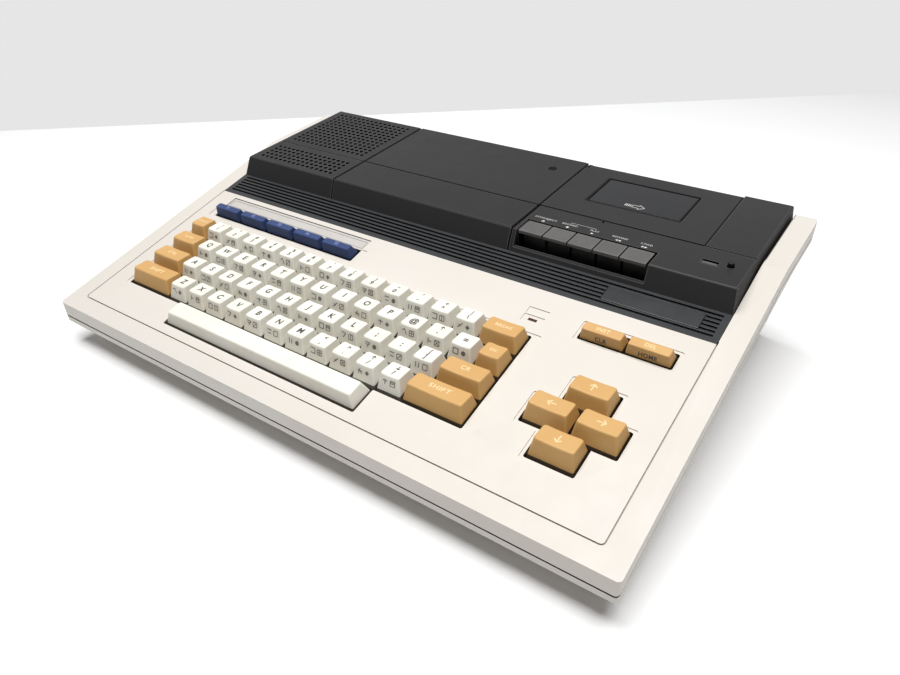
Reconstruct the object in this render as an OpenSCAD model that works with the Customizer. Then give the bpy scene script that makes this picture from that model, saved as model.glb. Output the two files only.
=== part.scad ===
// Vintage home computer: a wedge case with a full keyboard, a ribbed strip and three black
// modules behind it (vent grille, blank bay cover, cassette recorder).
// X runs along the width, Y from the front edge to the back, Z up from the surface it stands on.

/* [Case] */
// Width of the case
case_w = 440; // [425:1:460]
// Depth of the case, front edge to back edge
case_d = 293; // [288:1:305]
// Height of the front top edge above the surface
front_h = 33; // [31:0.5:38]
// Slope of the keyboard panel, in degrees
key_slope = 14.5; // [13.5:0.1:15.5]
// Slope of the rear frame and of the module tops, in degrees
rear_slope = 4.9; // [4:0.1:6]
// Distance from the front edge to where the slope changes
bend_y = 221; // [216:1:228]
// Radius of the case's upright corners
corner_r = 2.5; // [2:0.5:6]
// Wall thickness of both case shells
wall = 3; // [2.5:0.1:3.4]
// Height of the top shell's side band
band_h = 10; // [9:0.5:12]
// Open line between the two shells
seam_gap = 1.2; // [0.5:0.1:1.4]
// Height of the bottom shell's rim below the seam
rim_h = 3.9; // [3.5:0.1:6]
// How far the underside comes in from each side
under_in = 16; // [12:1:20]
// How far the underside comes in from the front
front_in = 24; // [18:1:30]
// Height of the rubber feet below the bottom shell
foot_h = 3; // [2:0.5:5]
// Radius of the rubber feet
foot_r = 9; // [7:0.5:11]

/* [Panel] */
// Width of the cream border beside the panel
side_border = 14.5; // [13:0.5:16]
// Distance up the slope from the front edge to the panel's groove
groove_s = 12.3; // [11:0.1:14]
// Width of the groove round the panel
groove_w = 0.9; // [0.6:0.1:1.4]
// Depth of the groove round the panel
groove_d = 1; // [0.6:0.1:1.4]
// Depth of the shallow ledges round the wells
ledge_d = 0.6; // [0.4:0.1:0.9]
// Width of the ledges round the small wells
ledge_w = 2.3; // [1.5:0.1:3]

/* [Keys] */
// Pitch of the keys both ways
key_pitch = 19.05; // [18.8:0.05:19.3]
// Gap between neighbouring key caps
key_gap = 0.9; // [0.8:0.05:1.2]
// Height of the key tops above the panel
key_rise = 9.5; // [8:0.5:11]
// How much lower the rear edges of the key tops lie than their front edges
key_tilt = 2.2; // [0:0.1:3]
// Height of the space bar's top above the panel
space_rise = 7.5; // [6:0.5:9]
// Height of the slim keys' tops above the panel
slim_rise = 7; // [6:0.5:9]
// How far the key skirts reach below the panel's surface
skirt_drop = 3.6; // [3.4:0.1:4.4]
// Travel of every key
key_travel = 3.5; // [3:0.1:4]
// Left edge of the key field, from the middle of the case
keys_x = -186.7; // [-188:0.1:-185.5]
// Front edge of the space bar's row, up the slope
keys_s = 20.2; // [19.5:0.1:21]
// Middle of the cursor keys, from the middle of the case
cursor_x = 161.8; // [161:0.1:162.6]
// Front edge of the slim keys' row, up the slope
slim_s = 126.1; // [125.8:0.1:126.8]
// Depth of the slim keys' cells
slim_d = 12; // [11.4:0.1:12.4]
// Thickness of the key cap walls
cap_wall = 1.3; // [1.1:0.1:1.5]
// Width of the square key stems
stem_w = 3.4; // [3:0.1:3.8]
// Gap between a stem and its guide on each side
stem_gap = 0.35; // [0.3:0.05:0.5]

/* [Strip and modules] */
// Front edge of the ribbed strip, up the slope
strip_s = 153.8; // [153:0.1:156.5]
// Width of the ribbed strip, up the slope
strip_w = 25.5; // [24.5:0.5:27]
// Thickness of the ribbed strip
strip_t = 2.4; // [2:0.1:3]
// Pitch of the strip's ribs
rib_pitch = 3.43; // [3.2:0.01:3.6]
// Depth of the grooves between the ribs
rib_deep = 1.4; // [0.8:0.1:1.5]
// Width of the name plate on the strip
plate_w = 61; // [50:1:66]
// Height of the module tops over the cream frame
deck_rise = 5.8; // [5:0.1:8]
// How far the module fronts lean back
deck_lean = 5.3; // [4:0.1:6]
// Seam between the grille and the bay cover, from the middle of the case
seam_1 = -108; // [-114:1:-102]
// Seam between the bay cover and the recorder, from the middle of the case
seam_2 = 53.3; // [52:0.1:54.5]
// Open line between neighbouring modules
module_gap = 1.4; // [0.8:0.1:2]
// Wall thickness of the modules
skin = 2.5; // [2.2:0.1:3]
// Diameter of the grille holes
vent_d = 3.7; // [2.4:0.1:3.8]
// Pitch of the grille holes
vent_pitch = 5.1; // [4.8:0.1:5.2]

/* [Recorder] */
// Width of the five transport buttons together
buttons_w = 90; // [86:0.5:91]
// Depth of a transport button's top
button_d = 14; // [12.5:0.5:15]
// Swing of a transport button, in degrees
button_swing = 8; // [5:0.5:9]
// Radius of the button that resets the counter
reset_r = 2.1; // [1.8:0.1:2.6]
// Travel of the counter's button
reset_travel = 1.2; // [0.8:0.1:1.6]
// Width of the cassette door
door_w = 117; // [114:0.5:118]
// Distance from the front of the deck to the cassette door
door_y = 36.5; // [35.5:0.1:38]
// Radius of the rolled rear edge of the door
barrel_r = 3.4; // [3:0.1:3.6]
// Radius of the door's hinge pins
pin_r = 1.5; // [1.3:0.1:1.7]
// Radius of the shaft the transport buttons turn on
shaft_r = 2; // [1.8:0.1:2.2]
// Running clearance round a shaft
run_gap = 0.05; // [0.03:0.01:0.08]
// Width of the door's window
window_w = 67.8; // [60:0.2:72]
// Depth of the door's window
window_d = 37.8; // [32:0.2:42]
// Distance between the two cassette spindles
spindle_gap = 42.5; // [42:0.1:43]
// Radius of the flywheel
flywheel_r = 24; // [21:0.5:25]
// Radius of the motor's pulley
pulley_r = 4; // [3.5:0.1:5]
// Travel of the head bridge
bridge_travel = 4; // [3:0.5:5]

/* [Hidden] */
$fn = 64;
e = 0.01;

// Heights of the top surface, and the frames of the panel and of the module tops
half_w = case_w / 2;
yf = -case_d / 2;
z_bend = front_h + bend_y * tan(key_slope);
z_rear = z_bend + (case_d - bend_y) * tan(rear_slope);
z_top = z_rear + deck_rise;
strip_end = strip_s + strip_w;
plate_x = 130.6;
plate_s = strip_s + 7.3;
plate_d = 12.5;
block_y = strip_end * cos(key_slope);
deck_y = block_y + deck_lean;
deck_z = z_top - (case_d - deck_y) * tan(rear_slope);
deck_len = (case_d - deck_y) / cos(rear_slope);
function top_z(y) = y < bend_y ? front_h + y * tan(key_slope)
                               : z_bend + (y - bend_y) * tan(rear_slope);

// Case
open_x = half_w - side_border;
groove_x = open_x + 0.4;
block_x = open_x - 0.2;
deck_x = block_x - 2;
body_top = band_h + seam_gap;
rim_low = body_top + rim_h;
tub_top = z_rear - rim_low;
rim_in = 0.1;
floor_z = foot_h + wall;
shelf_t = strip_t;
panel_t = 3;
ledge_z = 6;
ring_low = ledge_z + 2.5;
ring_rear = 12;
rail_in = 15;
in_x = half_w - 34;
foot_x = half_w - 35;
foot_y = [42, case_d - 21];
inlet_x = 36 - half_w;
rocker_x = 67 - half_w;
post_x = half_w - 24;
post_r = 5;
post_y = [58, 165, case_d - 31];
post_top = [26, 40, 60];
screw_r = 1.5;

// Key cells: left edge and width in pitches, row by row
row_s = [for (i = [0:4]) keys_s + (4 - i) * key_pitch];
well_gap = 0.4;
cursor_w = 1.5;
space_x = 3.25;
space_w = 9;
keys_end = 15.5;
slim_x = -186.7;
slim_w = 28.6;
card_s = slim_s + slim_d + 0.3;
card_d = 10.8;
stem_low = -15;
guide_top = -8;
guide_w = stem_w + 2 * stem_gap;
guide_out = guide_w + 2.2;
frame_t = -14;
frame_posts = [
    [keys_x + 6.7, 142], [40, 142], [cursor_x + 22.2, 142], [cursor_x + 22.2, 120.4],
    [keys_x + 36.7, 28], [128, 28]
];
frame_h = 2;
pad_h = 4.6;
board_t = stem_low - key_travel - 0.4 - pad_h;
board_h = 1.6;
board_x0 = keys_x - 1.3;
board_x1 = cursor_x + 28.2;
board_s0 = 18;
board_s1 = 141;

// Recorder
rec_x0 = seam_2 + module_gap / 2;
rec_x1 = deck_x;
door_x0 = rec_x0;
door_x1 = door_x0 + door_w;
door_gap = 0.4;
front_gap = 0.8;
window_gap = 0.5;
door_mid = (door_x0 + door_x1) / 2;
door_t = 3;
hinge_v = deck_len - barrel_r - 0.6;
hinge_w = -barrel_r;
rail_v = (case_d - ring_rear - deck_y) / cos(rear_slope) - 2.5;
btn_pitch = buttons_w / 5;
btn_x0 = rec_x0 + 4.5;
btn_v1 = button_d - 0.4;
lip_t = 2.2;
body_v = 5.6;
body_w = -16.5;
sill_w = -11.3;
mark_x = door_mid - 9.4;
reset_x = rec_x1 - 11.1;
reset_v = 21;
reset_low = -skin - 5;
shaft_v = door_y - 0.2;
shaft_w = -22;
chassis_w = -20;
chassis_h = 2;
chassis_v0 = shaft_v + 5.7;
reel_v = door_y + 41.5;
window_x = door_mid + 0.7;
window_v = reel_v - 0.1;
reel_x = [door_mid - spindle_gap / 2, door_mid + spindle_gap / 2];
capstan_x = door_mid + 25.5;
capstan_v = reel_v - 24.7;
capstan_r = 1.1;
wheel_w = -33;
wheel_h = 4.5;
motor_x = door_mid - 38;
motor_v = reel_v + 10;
chassis_v1 = motor_v + 18;
bridge_w = chassis_w + chassis_h;
bridge_gap = 0.3;
roller_r = 5;
roller_v = capstan_v - capstan_r - roller_r - bridge_travel - 0.3;
plate_v0 = door_y + 0.8;
plate_v1 = capstan_v - capstan_r - bridge_travel - 0.8;
guide_v = capstan_v - 9.4;
rear_z = 28;

module on_panel() translate([0, yf, front_h]) rotate([key_slope, 0, 0]) children();
module on_deck() translate([0, yf + deck_y, deck_z]) rotate([rear_slope, 0, 0]) children();
module along_x(x0, x1) translate([x0, yf, 0]) rotate([90, 0, 90]) linear_extrude(x1 - x0) children();
module along_y(y0, y1) translate([0, yf + y1, 0]) rotate([90, 0, 0]) linear_extrude(y1 - y0) children();
module box(x0, x1, y0, y1, z0, z1) translate([x0, y0, z0]) cube([x1 - x0, y1 - y0, z1 - z0]);
module rod(x, y, z0, z1, r) translate([x, y, z0]) cylinder(r = r, h = z1 - z0);
module bar_x(x0, x1, y, z, r) translate([x0, y, z]) rotate([0, 90, 0]) cylinder(r = r, h = x1 - x0);
module bar_y(x, y0, y1, z, r) translate([x, y1, z]) rotate([90, 0, 0]) cylinder(r = r, h = y1 - y0);

module round_rect(x0, x1, y0, y1, r) {
    translate([x0 + r, y0]) square([x1 - x0 - 2 * r, y1 - y0]);
    translate([x0, y0 + r]) square([x1 - x0, y1 - y0 - 2 * r]);
    for (x = [x0 + r, x1 - r], y = [y0 + r, y1 - r]) translate([x, y]) circle(r = r);
}
module round_box(x0, x1, y0, y1, z0, z1, r)
    translate([0, 0, z0]) linear_extrude(z1 - z0) round_rect(x0, x1, y0, y1, r);

// A layer that follows the top surface, from a drop of d1 to a drop of d2
module layer(d1, d2, x0 = -300, x1 = 300, y0 = -5, y1 = 320) along_x(x0, x1) polygon([
    [y0, top_z(y0) - d1], [bend_y, z_bend - d1], [y1, top_z(y1) - d1],
    [y1, top_z(y1) - d2], [bend_y, z_bend - d2], [y0, top_z(y0) - d2]
]);
module plan(inset) round_box(
    -half_w + inset, half_w - inset, yf + inset, -yf - inset, 0, 140, max(corner_r - inset, 1)
);

/* Case shells */

// Cells of the wells, each [x0, x1, s0, s1] on the panel
function cell(x, w, s) = [keys_x + x * key_pitch, keys_x + (x + w) * key_pitch, s, s + key_pitch];
main_well = [keys_x, keys_x + keys_end * key_pitch, row_s[3], row_s[0] + key_pitch];
space_well = [keys_x + space_x * key_pitch, keys_x + (space_x + space_w) * key_pitch, row_s[4], row_s[3] + 1];
cursor_half = cursor_w * key_pitch / 2;
cursor_side = [cursor_x - 2 * cursor_half, cursor_x + 2 * cursor_half, row_s[2], row_s[2] + key_pitch];
cursor_tall = [cursor_x - cursor_half, cursor_x + cursor_half, row_s[3], row_s[1] + key_pitch];
slim_well = [slim_x, slim_x + 5 * slim_w, slim_s, slim_s + slim_d];
edit_well = [cursor_x - 2 * cursor_half, cursor_x + 2 * cursor_half, slim_s, slim_s + slim_d];

module area(c, grow, t0, t1, r = 1.2) round_box(
    c[0] - grow, c[1] + grow, c[2] - grow, c[3] + grow, t0, t1, r
);
module all_wells(grow, t0, t1) {
    for (c = [main_well, space_well, cursor_side, cursor_tall, slim_well, edit_well])
        area(c, grow, t0, t1);
}
module well_ledges() {
    round_box(main_well[0] - 3.2, main_well[1] + 6.2, main_well[2] - 1, main_well[3] + 2.3, -ledge_d, 5, 1.5);
    for (c = [cursor_side, cursor_tall, edit_well]) area(c, ledge_w, -ledge_d, 5, 1.5);
    round_box(slim_well[0] - 6.3, slim_well[1] + 6.4, slim_s - 2, slim_s + slim_d + 1, -ledge_d, 5, 1.5);
    box(95, 109.2, 125, 131.4, -ledge_d, 5);
    box(95, 109.2, 132, 137.8, -ledge_d, 5);
}
module panel_groove() difference() {
    round_box(-groove_x, groove_x, groove_s, strip_s + 4, -groove_d, 5, 3);
    round_box(
        -groove_x + groove_w, groove_x - groove_w, groove_s + groove_w, strip_s + 5,
        -groove_d - 1, 6, 3 - groove_w
    );
}
module boss(x, y, z0) translate([x, yf + y, z0]) cylinder(r = 3.4, h = 100);

module top_case() color("#f3ece1") difference() {
    union() {
        difference() {
            intersection() {
                plan(0);
                layer(0, band_h);
            }
            intersection() {
                plan(wall);
                layer(panel_t, band_h + 5);
            }
        }
        // thicker shelf under the strip, and the ring the modules rest on
        intersection() {
            plan(1);
            union() {
                on_panel() box(-half_w + 2, half_w - 2, strip_s - 2, strip_end, -shelf_t - 2.6, -1);
                layer(ledge_z - 1, ring_low, -half_w + 1, half_w - 1, block_y - 4, case_d - 1);
            }
        }
        // collars that hang the key frame, and the screw bosses
        intersection() {
            layer(1.5, 90);
            union() {
                for (i = [0:2], x = [-post_x, post_x]) boss(x, post_y[i], post_top[i] + 0.3);
                on_panel() for (p = frame_posts) rod(p[0], p[1], frame_t, -1, 2.6);
            }
        }
    }
    // module opening, down to the ring and through between the rails
    intersection() {
        box(-open_x, open_x, yf + block_y, yf + case_d + 5, 40, 140);
        layer(-20, ledge_z);
    }
    box(-open_x + rail_in, open_x - rail_in, yf + block_y + 6, yf + case_d - ring_rear, 40, 140);
    box(seam_2 - 8, open_x - rail_in - 1, yf + block_y, yf + block_y + 7, 39, 141);
    on_panel() {
        box(-open_x, open_x, strip_s, strip_end + 1, -shelf_t, 5);
        panel_groove();
        all_wells(well_gap, -20, 5);
        well_ledges();
        round_box(slim_well[0] - 0.9, slim_well[1] + 1.2, card_s, card_s + card_d + 0.6, -1.2, 5, 0.8);
        box(99.1, 105.1, slim_s + 0.9, slim_s + 3.1, -10, 5);
    }
    // screw holes
    for (i = [0:2], x = [-post_x, post_x])
        translate([x, yf + post_y[i], post_top[i] - 5]) cylinder(r = screw_r, h = 13);
}

module tub_shape(inset, low) intersection() {
    along_x(-300, 300) polygon([
        [front_in + inset, low], [case_d - rim_in - inset, low],
        [case_d - rim_in - inset, 140], [rim_in + inset, 140],
        [rim_in + inset, front_h - rim_low]
    ]);
    along_y(-5, 320) polygon([
        [-half_w + under_in + inset, low], [half_w - under_in - inset, low],
        [half_w - 1 - inset, tub_top], [half_w - 1 - inset, 140],
        [-half_w + 1 + inset, 140], [-half_w + 1 + inset, tub_top]
    ]);
}
module bottom_case() color("#f1eadf") difference() {
    union() {
        difference() {
            intersection() {
                plan(rim_in);
                union() {
                    layer(body_top, rim_low);
                    intersection() {
                        tub_shape(0, foot_h);
                        layer(body_top, 150);
                    }
                }
            }
            intersection() {
                plan(wall + 0.5);
                union() {
                    layer(-20, rim_low - 2.5);
                    tub_shape(wall, floor_z);
                }
            }
        }
        // tongue inside the top shell
        intersection() {
            layer(ring_low + 0.3, body_top + 1);
            difference() {
                plan(wall + 0.3);
                plan(wall + 1.6);
            }
        }
        // screw posts
        for (i = [0:2], x = [-post_x, post_x]) rod(x, yf + post_y[i], foot_h, post_top[i], post_r);
        // stand-offs for the boards
        for (x = [-60, 60, in_x - 6], y = [143, 23]) rod(x, -yf - y, floor_z - 1, 11, 3);
        for (x = [6, 68], y = [73, 18]) rod(x - in_x, -yf - y, floor_z - 1, 9, 3);
    }
    for (i = [0:2], x = [-post_x, post_x]) {
        rod(x, yf + post_y[i], 0, post_top[i] - 6, 3.3);
        rod(x, yf + post_y[i], 0, 90, screw_r + 0.3);
    }
    for (x = [-foot_x, foot_x], y = foot_y) rod(x, yf + y, 0, foot_h + 1, foot_r - 2);
    rear_openings();
    // slots in the floor for air
    for (i = [0:9]) box(i * 8 - in_x - 4, i * 8 - in_x - 1, -yf - 67, -yf - 25, 0, floor_z + 1);
}
// mains inlet, rocker, two round sockets, two jacks and two edge connectors
module rear_openings() {
    y0 = yf + case_d - 8;
    y1 = yf + case_d + 5;
    box(inlet_x - 14.3, inlet_x + 14.3, y0, y1, rear_z - 10.3, rear_z + 10.3);
    box(rocker_x - 7.3, rocker_x + 7.3, y0, y1, rear_z - 10.8, rear_z + 10.8);
    for (x = [-90, -60]) bar_y(x, y0, y1, rear_z - 3, 8.3);
    for (x = [-36, -18]) bar_y(x, y0, y1, rear_z - 3, 4.8);
    box(10, 84, y0, y1, 14, 34);
    box(110, 166, y0, y1, 14, 34);
}

module ribbed_strip() color("#3d3e40") difference() {
    on_panel() difference() {
        box(-open_x + 0.3, open_x - 0.3, strip_s + 0.2, strip_end + 0.8, -strip_t, 0);
        for (i = [0:5]) {
            s = strip_s + 4.3 + i * rib_pitch;
            box(-open_x + 4.5, open_x - 4.5, s, s + rib_pitch / 2, -rib_deep, 1);
        }
        box(plate_x - 0.2, plate_x + plate_w + 0.2, plate_s - 0.2, plate_s + plate_d + 0.2, -1, 1);
    }
    // upright rear face, clear of the modules
    box(-half_w, half_w, yf + block_y - 0.1, yf + block_y + 10, 40, 140);
}
module name_plate() color("#2b2c2e") on_panel()
    round_box(plate_x, plate_x + plate_w, plate_s, plate_s + plate_d, -1, 0.3, 1);

/* Modules */

// The outline of the modules, seen from the side
module block_2d(inset, low) polygon([
    [block_y + 0.2 + inset, top_z(block_y + 0.2 + inset) - low], [block_y + 0.2 + inset, top_z(block_y) - 0.2],
    [deck_y + inset, deck_z - 0.8 - inset], [deck_y + 0.8 + inset, deck_z - inset],
    [case_d - 0.8 - inset, z_top - 0.8 * tan(rear_slope) - inset],
    [case_d - inset, z_top - 0.9 - inset],
    [case_d - inset, z_rear - low], [bend_y, z_bend - low]
]);
module block_front(x0, x1, lean0, lean1, inset) on_deck() translate([0, 260, 0]) rotate([90, 0, 0])
    linear_extrude(400) polygon([
        [x0 - lean0 + inset, -60], [x0 - lean0 + inset, -14],
        [x0 + inset, -0.8 - inset], [x0 + 0.8 + inset, -inset],
        [x1 - 0.8 - inset, -inset], [x1 - inset, -0.8 - inset],
        [x1 + lean1 - inset, -14], [x1 + lean1 - inset, -60]
    ]);
module block_shell(x0, x1, lean0, lean1) difference() {
    intersection() {
        along_x(x0 - 5, x1 + 5) block_2d(0, ledge_z - 0.02);
        block_front(x0, x1, lean0, lean1, 0);
    }
    intersection() {
        along_x(x0 - 5, x1 + 5) block_2d(skin, 60);
        block_front(x0, x1, lean0, lean1, skin);
    }
}
module cross_line(x0, x1) on_deck() box(x0, x1, door_y - 0.4, door_y + 0.4, -1, 2);

vent_x = (-deck_x + seam_1 - module_gap / 2) / 2;
module grille_cover() color("#48494b") difference() {
    block_shell(-deck_x, seam_1 - module_gap / 2, 2, 0);
    on_deck() {
        for (i = [0:15], j = [0:4])
            rod(vent_x + (i - 7.5) * vent_pitch, 17.4 + (j - 2) * vent_pitch, -5, 2, vent_d / 2);
        for (i = [0:15], j = [0:12])
            rod(vent_x + (i - 7.5) * vent_pitch, 75.8 + (j - 6) * vent_pitch, -5, 2, vent_d / 2);
    }
    cross_line(-300, 0);
}
module bay_cover() color("#48494b") difference() {
    block_shell(seam_1 + module_gap / 2, seam_2 - module_gap / 2, 0, 0);
    cross_line(-200, 200);
    // faint round dimple where a knob could go
    on_deck() rod(33, 93, -0.2, 2, 3.7);
}
module recorder_case() color("#48494b") {
    difference() {
        union() {
            block_shell(rec_x0, rec_x1, 0, 2);
            on_deck() {
                // walls round the cassette well
                box(rec_x0 + 1, door_x1 + 2, door_y - 2.6, door_y - 0.2, -16, -1);
                box(door_x1 + door_gap, door_x1 + 2.6, door_y - 2, 100, -17, -1);
                box(door_x1 + door_gap, door_x1 + 2.6, 99, deck_len - 1.5, -11, -1);
                box(rec_x0, rec_x0 + skin, door_y - 2, 100, bridge_w, -3);
                // posts the tape chassis hangs from
                for (v = [48, 95]) rod(door_x1 + 6, v, bridge_w, -1, 3);
                // guide of the counter's button
                rod(reset_x, reset_v, reset_low, -1, reset_r + 2);
            }
        }
        on_deck() {
            // the door's opening, and the space for its rolled edge
            box(rec_x0 - 2, door_x1 + door_gap, door_y, deck_len + 5, -door_t - door_gap, 5);
            box(rec_x0 + skin, door_x1 + door_gap, door_y, deck_len - skin, -50, 5);
            box(rec_x0 - 2, door_x1 + door_gap, hinge_v - barrel_r - door_gap, deck_len + 5, -2 * barrel_r - door_gap, 5);
            // front cut-out for the buttons, down to a low sill
            box(btn_x0 - 1.5, btn_x0 + buttons_w + 1, -12, btn_v1 + 1.8, sill_w, 5);
            // counter window, button hole, finger mark
            box(rec_x1 - 28.3, rec_x1 - 18, reset_v - 4.1, reset_v + 1, -5, 2);
            rod(reset_x, reset_v, reset_low + 2.5, 2, reset_r + 0.4);
            rod(reset_x, reset_v, reset_low - 1, 0, 1 + run_gap);
            rod(mark_x, door_y - 1.6, -0.8, 2, 0.9);
        }
        cross_line(door_x1 + door_gap, 300);
    }
    on_deck() {
        // hinge ears and pins
        box(door_x1 + door_gap, door_x1 + 4, hinge_v - 3, hinge_v + 3, -2 * barrel_r, -1);
        bar_x(door_x1 - 5, door_x1 + 2, hinge_v, hinge_w, pin_r - run_gap);
        box(rec_x0, rec_x0 + 2.6, hinge_v - 3, hinge_v + 3, -2 * barrel_r - 2, -0.8);
        bar_x(rec_x0 + 2, rec_x0 + 8, hinge_v, hinge_w, pin_r - run_gap);
        // thin fin beside the buttons
        box(btn_x0 - 1.5, btn_x0 - 0.7, 1, btn_v1, -12, -1);
    }
}
module button_counter() color("#2a2a2c") on_deck() translate([reset_x, reset_v, 0]) union() {
    rod(0, 0, reset_low + 2.8 + reset_travel, 2.8, reset_r);
    rod(0, 0, reset_low - 1.8, 0, 1);
    rod(0, 0, reset_low - 1.8, reset_low - 0.3, 1.9);
}
module cassette_door() color("#4a4b4d") on_deck() difference() {
    union() {
        box(door_x0, door_x1, door_y + front_gap, hinge_v, -door_t, 0);
        bar_x(door_x0, door_x1, hinge_v, hinge_w, barrel_r);
        // rails for the cassette
        for (m = [-1, 1]) {
            box(door_mid + m * 52.5 - 0.9, door_mid + m * 52.5 + 0.9, 48, rail_v, -14, -1);
            box(door_mid + m * 51.1 - 2.3, door_mid + m * 51.1 + 2.3, 48, rail_v, -14, -12.6);
        }
    }
    window_plate(0, -5, 5, 1.8);
    window_plate(2, -5, -1.5, 3);
    // bores and ear notches
    bar_x(door_x0 - 1, door_x0 + 9, hinge_v, hinge_w, pin_r);
    bar_x(door_x1 - 6, door_x1 + 1, hinge_v, hinge_w, pin_r);
    box(door_x0 - 1, door_x0 + 3, hinge_v - barrel_r - 1, hinge_v + 5, -10, 2);
}
module window_plate(grow, w0, w1, r) round_box(
    window_x - window_w / 2 - grow, window_x + window_w / 2 + grow,
    window_v - window_d / 2 - grow, window_v + window_d / 2 + grow, w0, w1, r
);
module cassette_window() color("#9aa0a2") on_deck() union() {
    window_plate(-window_gap, -2, -0.3, 1.3);
    window_plate(1.8, -2.9, -1.5, 2.8);
}

// A transport button: lip, body and a lever down to the shaft
module button(i) color("#6f6d6d") on_deck() difference() {
    x0 = btn_x0 + i * btn_pitch + 0.5;
    x1 = x0 + btn_pitch - 1;
    xm = (x0 + x1) / 2;
    union() {
        box(x0, x1, -0.9, btn_v1, -lip_t, 0);
        box(x0 + 0.5, x1 - 0.5, body_v, btn_v1 - 0.4, body_w, -lip_t + 0.1);
        translate([xm - 2.5, 0, 0]) rotate([90, 0, 90]) linear_extrude(5) polygon([
            [body_v + 2, -12], [btn_v1 - 1, -12], [btn_v1 + 5, shaft_w + 3.5], [shaft_v, shaft_w + 3.5],
            [shaft_v, shaft_w - 3.5], [14, shaft_w - 3.5], [body_v + 2, shaft_w + 2]
        ]);
        bar_x(xm - 2.5, xm + 2.5, shaft_v, shaft_w, shaft_r + 2);
    }
    bar_x(xm - 5, xm + 5, shaft_v, shaft_w, shaft_r + run_gap);
    // fine ribs across the lip
    for (k = [1:7]) box(x0 + 1.2, x1 - 1.2, k * 1.6 - 0.25, k * 1.6 + 0.25, -0.2, 1);
}

module button_stop() button(0);
module button_record() button(1);
module button_play() button(2);
module button_rewind() button(3);
module button_forward() button(4);

/* Keys */

// A key cap on the cell [x0, x1, s0, s1]: height, insets of its top face, dish and stems
module cap(c, rise, fi, bi, si, dish, stems = [0], tilt = 0) {
    g = key_gap / 2;
    xm = (c[0] + c[1]) / 2;
    sm = (c[2] + c[3]) / 2;
    hw = (c[1] - c[0]) / 2;
    tw = hw - si;
    dr = dish > 0 ? (tw * tw + dish * dish) / (2 * dish) : 1;
    roof = rise - dish - 1.4;
    lean = atan(tilt / (c[3] - bi - c[2] - fi));
    difference() {
        intersection() {
            translate([c[0], 0, 0]) rotate([90, 0, 90]) linear_extrude(c[1] - c[0]) polygon([
                [c[2] + g, -skirt_drop], [c[3] - g, -skirt_drop],
                [c[3] - bi, rise - tilt], [c[2] + fi, rise]
            ]);
            translate([xm, c[3], 0]) rotate([90, 0, 0]) linear_extrude(c[3] - c[2]) polygon([
                [-hw + g, -skirt_drop], [hw - g, -skirt_drop], [tw, rise], [-tw, rise]
            ]);
        }
        if (dish > 0) translate([xm, c[2] + fi, rise - dish]) rotate([-lean, 0, 0])
            bar_y(0, -10, 25, dr, dr, $fn = 180);
        intersection() {
            translate([c[0], 0, 0]) rotate([90, 0, 90]) linear_extrude(c[1] - c[0]) polygon([
                [c[2] + g + cap_wall, -skirt_drop - e], [c[3] - g - cap_wall, -skirt_drop - e],
                [c[3] - bi - cap_wall, roof - tilt], [c[2] + fi + cap_wall, roof]
            ]);
            translate([xm, c[3], 0]) rotate([90, 0, 0]) linear_extrude(c[3] - c[2]) polygon([
                [-hw + g + cap_wall, -skirt_drop - e], [hw - g - cap_wall, -skirt_drop - e],
                [tw - cap_wall, roof], [-tw + cap_wall, roof]
            ]);
        }
    }
    for (dx = stems) translate([xm + dx - stem_w / 2, sm - stem_w / 2, stem_low])
        cube([stem_w, stem_w, roof + 0.6 - 0.3 * tilt - stem_low]);
}
module typing_cap(c) cap(c, key_rise, 6.7, 0.6, 2.8, 0.6, [0], key_tilt);
// Left edge and count of the white keys in each row
white_x = [1, 1.5, 1.75, 2.25];
white_n = [13, 13, 12, 11];
module key_row(r) color("#f5f4ec") on_panel() for (i = [0:white_n[r] - 1])
    typing_cap(cell(white_x[r] + i, 1, row_s[r]));
module wide_key(r, x, w) on_panel() typing_cap(cell(x, w, row_s[r]));
module cursor_cell(dx, r) on_panel() typing_cap(
    [cursor_x + dx - cursor_half, cursor_x + dx + cursor_half, row_s[r], row_s[r] + key_pitch]
);
module slim_key(x0, x1, rise, fi, bi) on_panel()
    cap([x0, x1, slim_s, slim_s + slim_d], rise, fi, bi, 2.1, 0);

module space_bar() color("#f5f4ec") on_panel()
    cap(cell(space_x, space_w, row_s[4]), space_rise, 4.6, 3.2, 4, 0, [-60, 0, 60]);
module key_row_1() key_row(0);
module key_row_2() key_row(1);
module key_row_3() key_row(2);
module key_row_4() key_row(3);
module key_graph() color("#e2b56a") wide_key(0, 0, 1);
module key_break() color("#e2b56a") wide_key(0, 14, 1.5);
module key_alpha() color("#e2b56a") wide_key(1, 0, 1.5);
module key_blank() color("#e2b56a") wide_key(1, 14.5, 1);
module key_control() color("#e2b56a") wide_key(2, 0, 1.75);
module key_return() color("#e2b56a") wide_key(2, 13.75, 1.75);
module key_shift_left() color("#e2b56a") wide_key(3, 0, 2.25);
module key_shift_right() color("#e2b56a") wide_key(3, 13.25, 2.25);
module key_up() color("#e2b56a") cursor_cell(0, 1);
module key_left() color("#e2b56a") cursor_cell(-cursor_half, 2);
module key_right() color("#e2b56a") cursor_cell(cursor_half, 2);
module key_down() color("#e2b56a") cursor_cell(0, 3);
module key_insert() color("#e2b56a") slim_key(edit_well[0], cursor_x, slim_rise, 1.6, 3.8);
module key_delete() color("#e2b56a") slim_key(cursor_x, edit_well[1], slim_rise, 1.6, 3.8);
module function_key(i) color("#34508f")
    slim_key(slim_x + i * slim_w, slim_x + (i + 1) * slim_w, slim_rise, 1.9, 4.6);
module key_f1() function_key(0);
module key_f2() function_key(1);
module key_f3() function_key(2);
module key_f4() function_key(3);
module key_f5() function_key(4);

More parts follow.
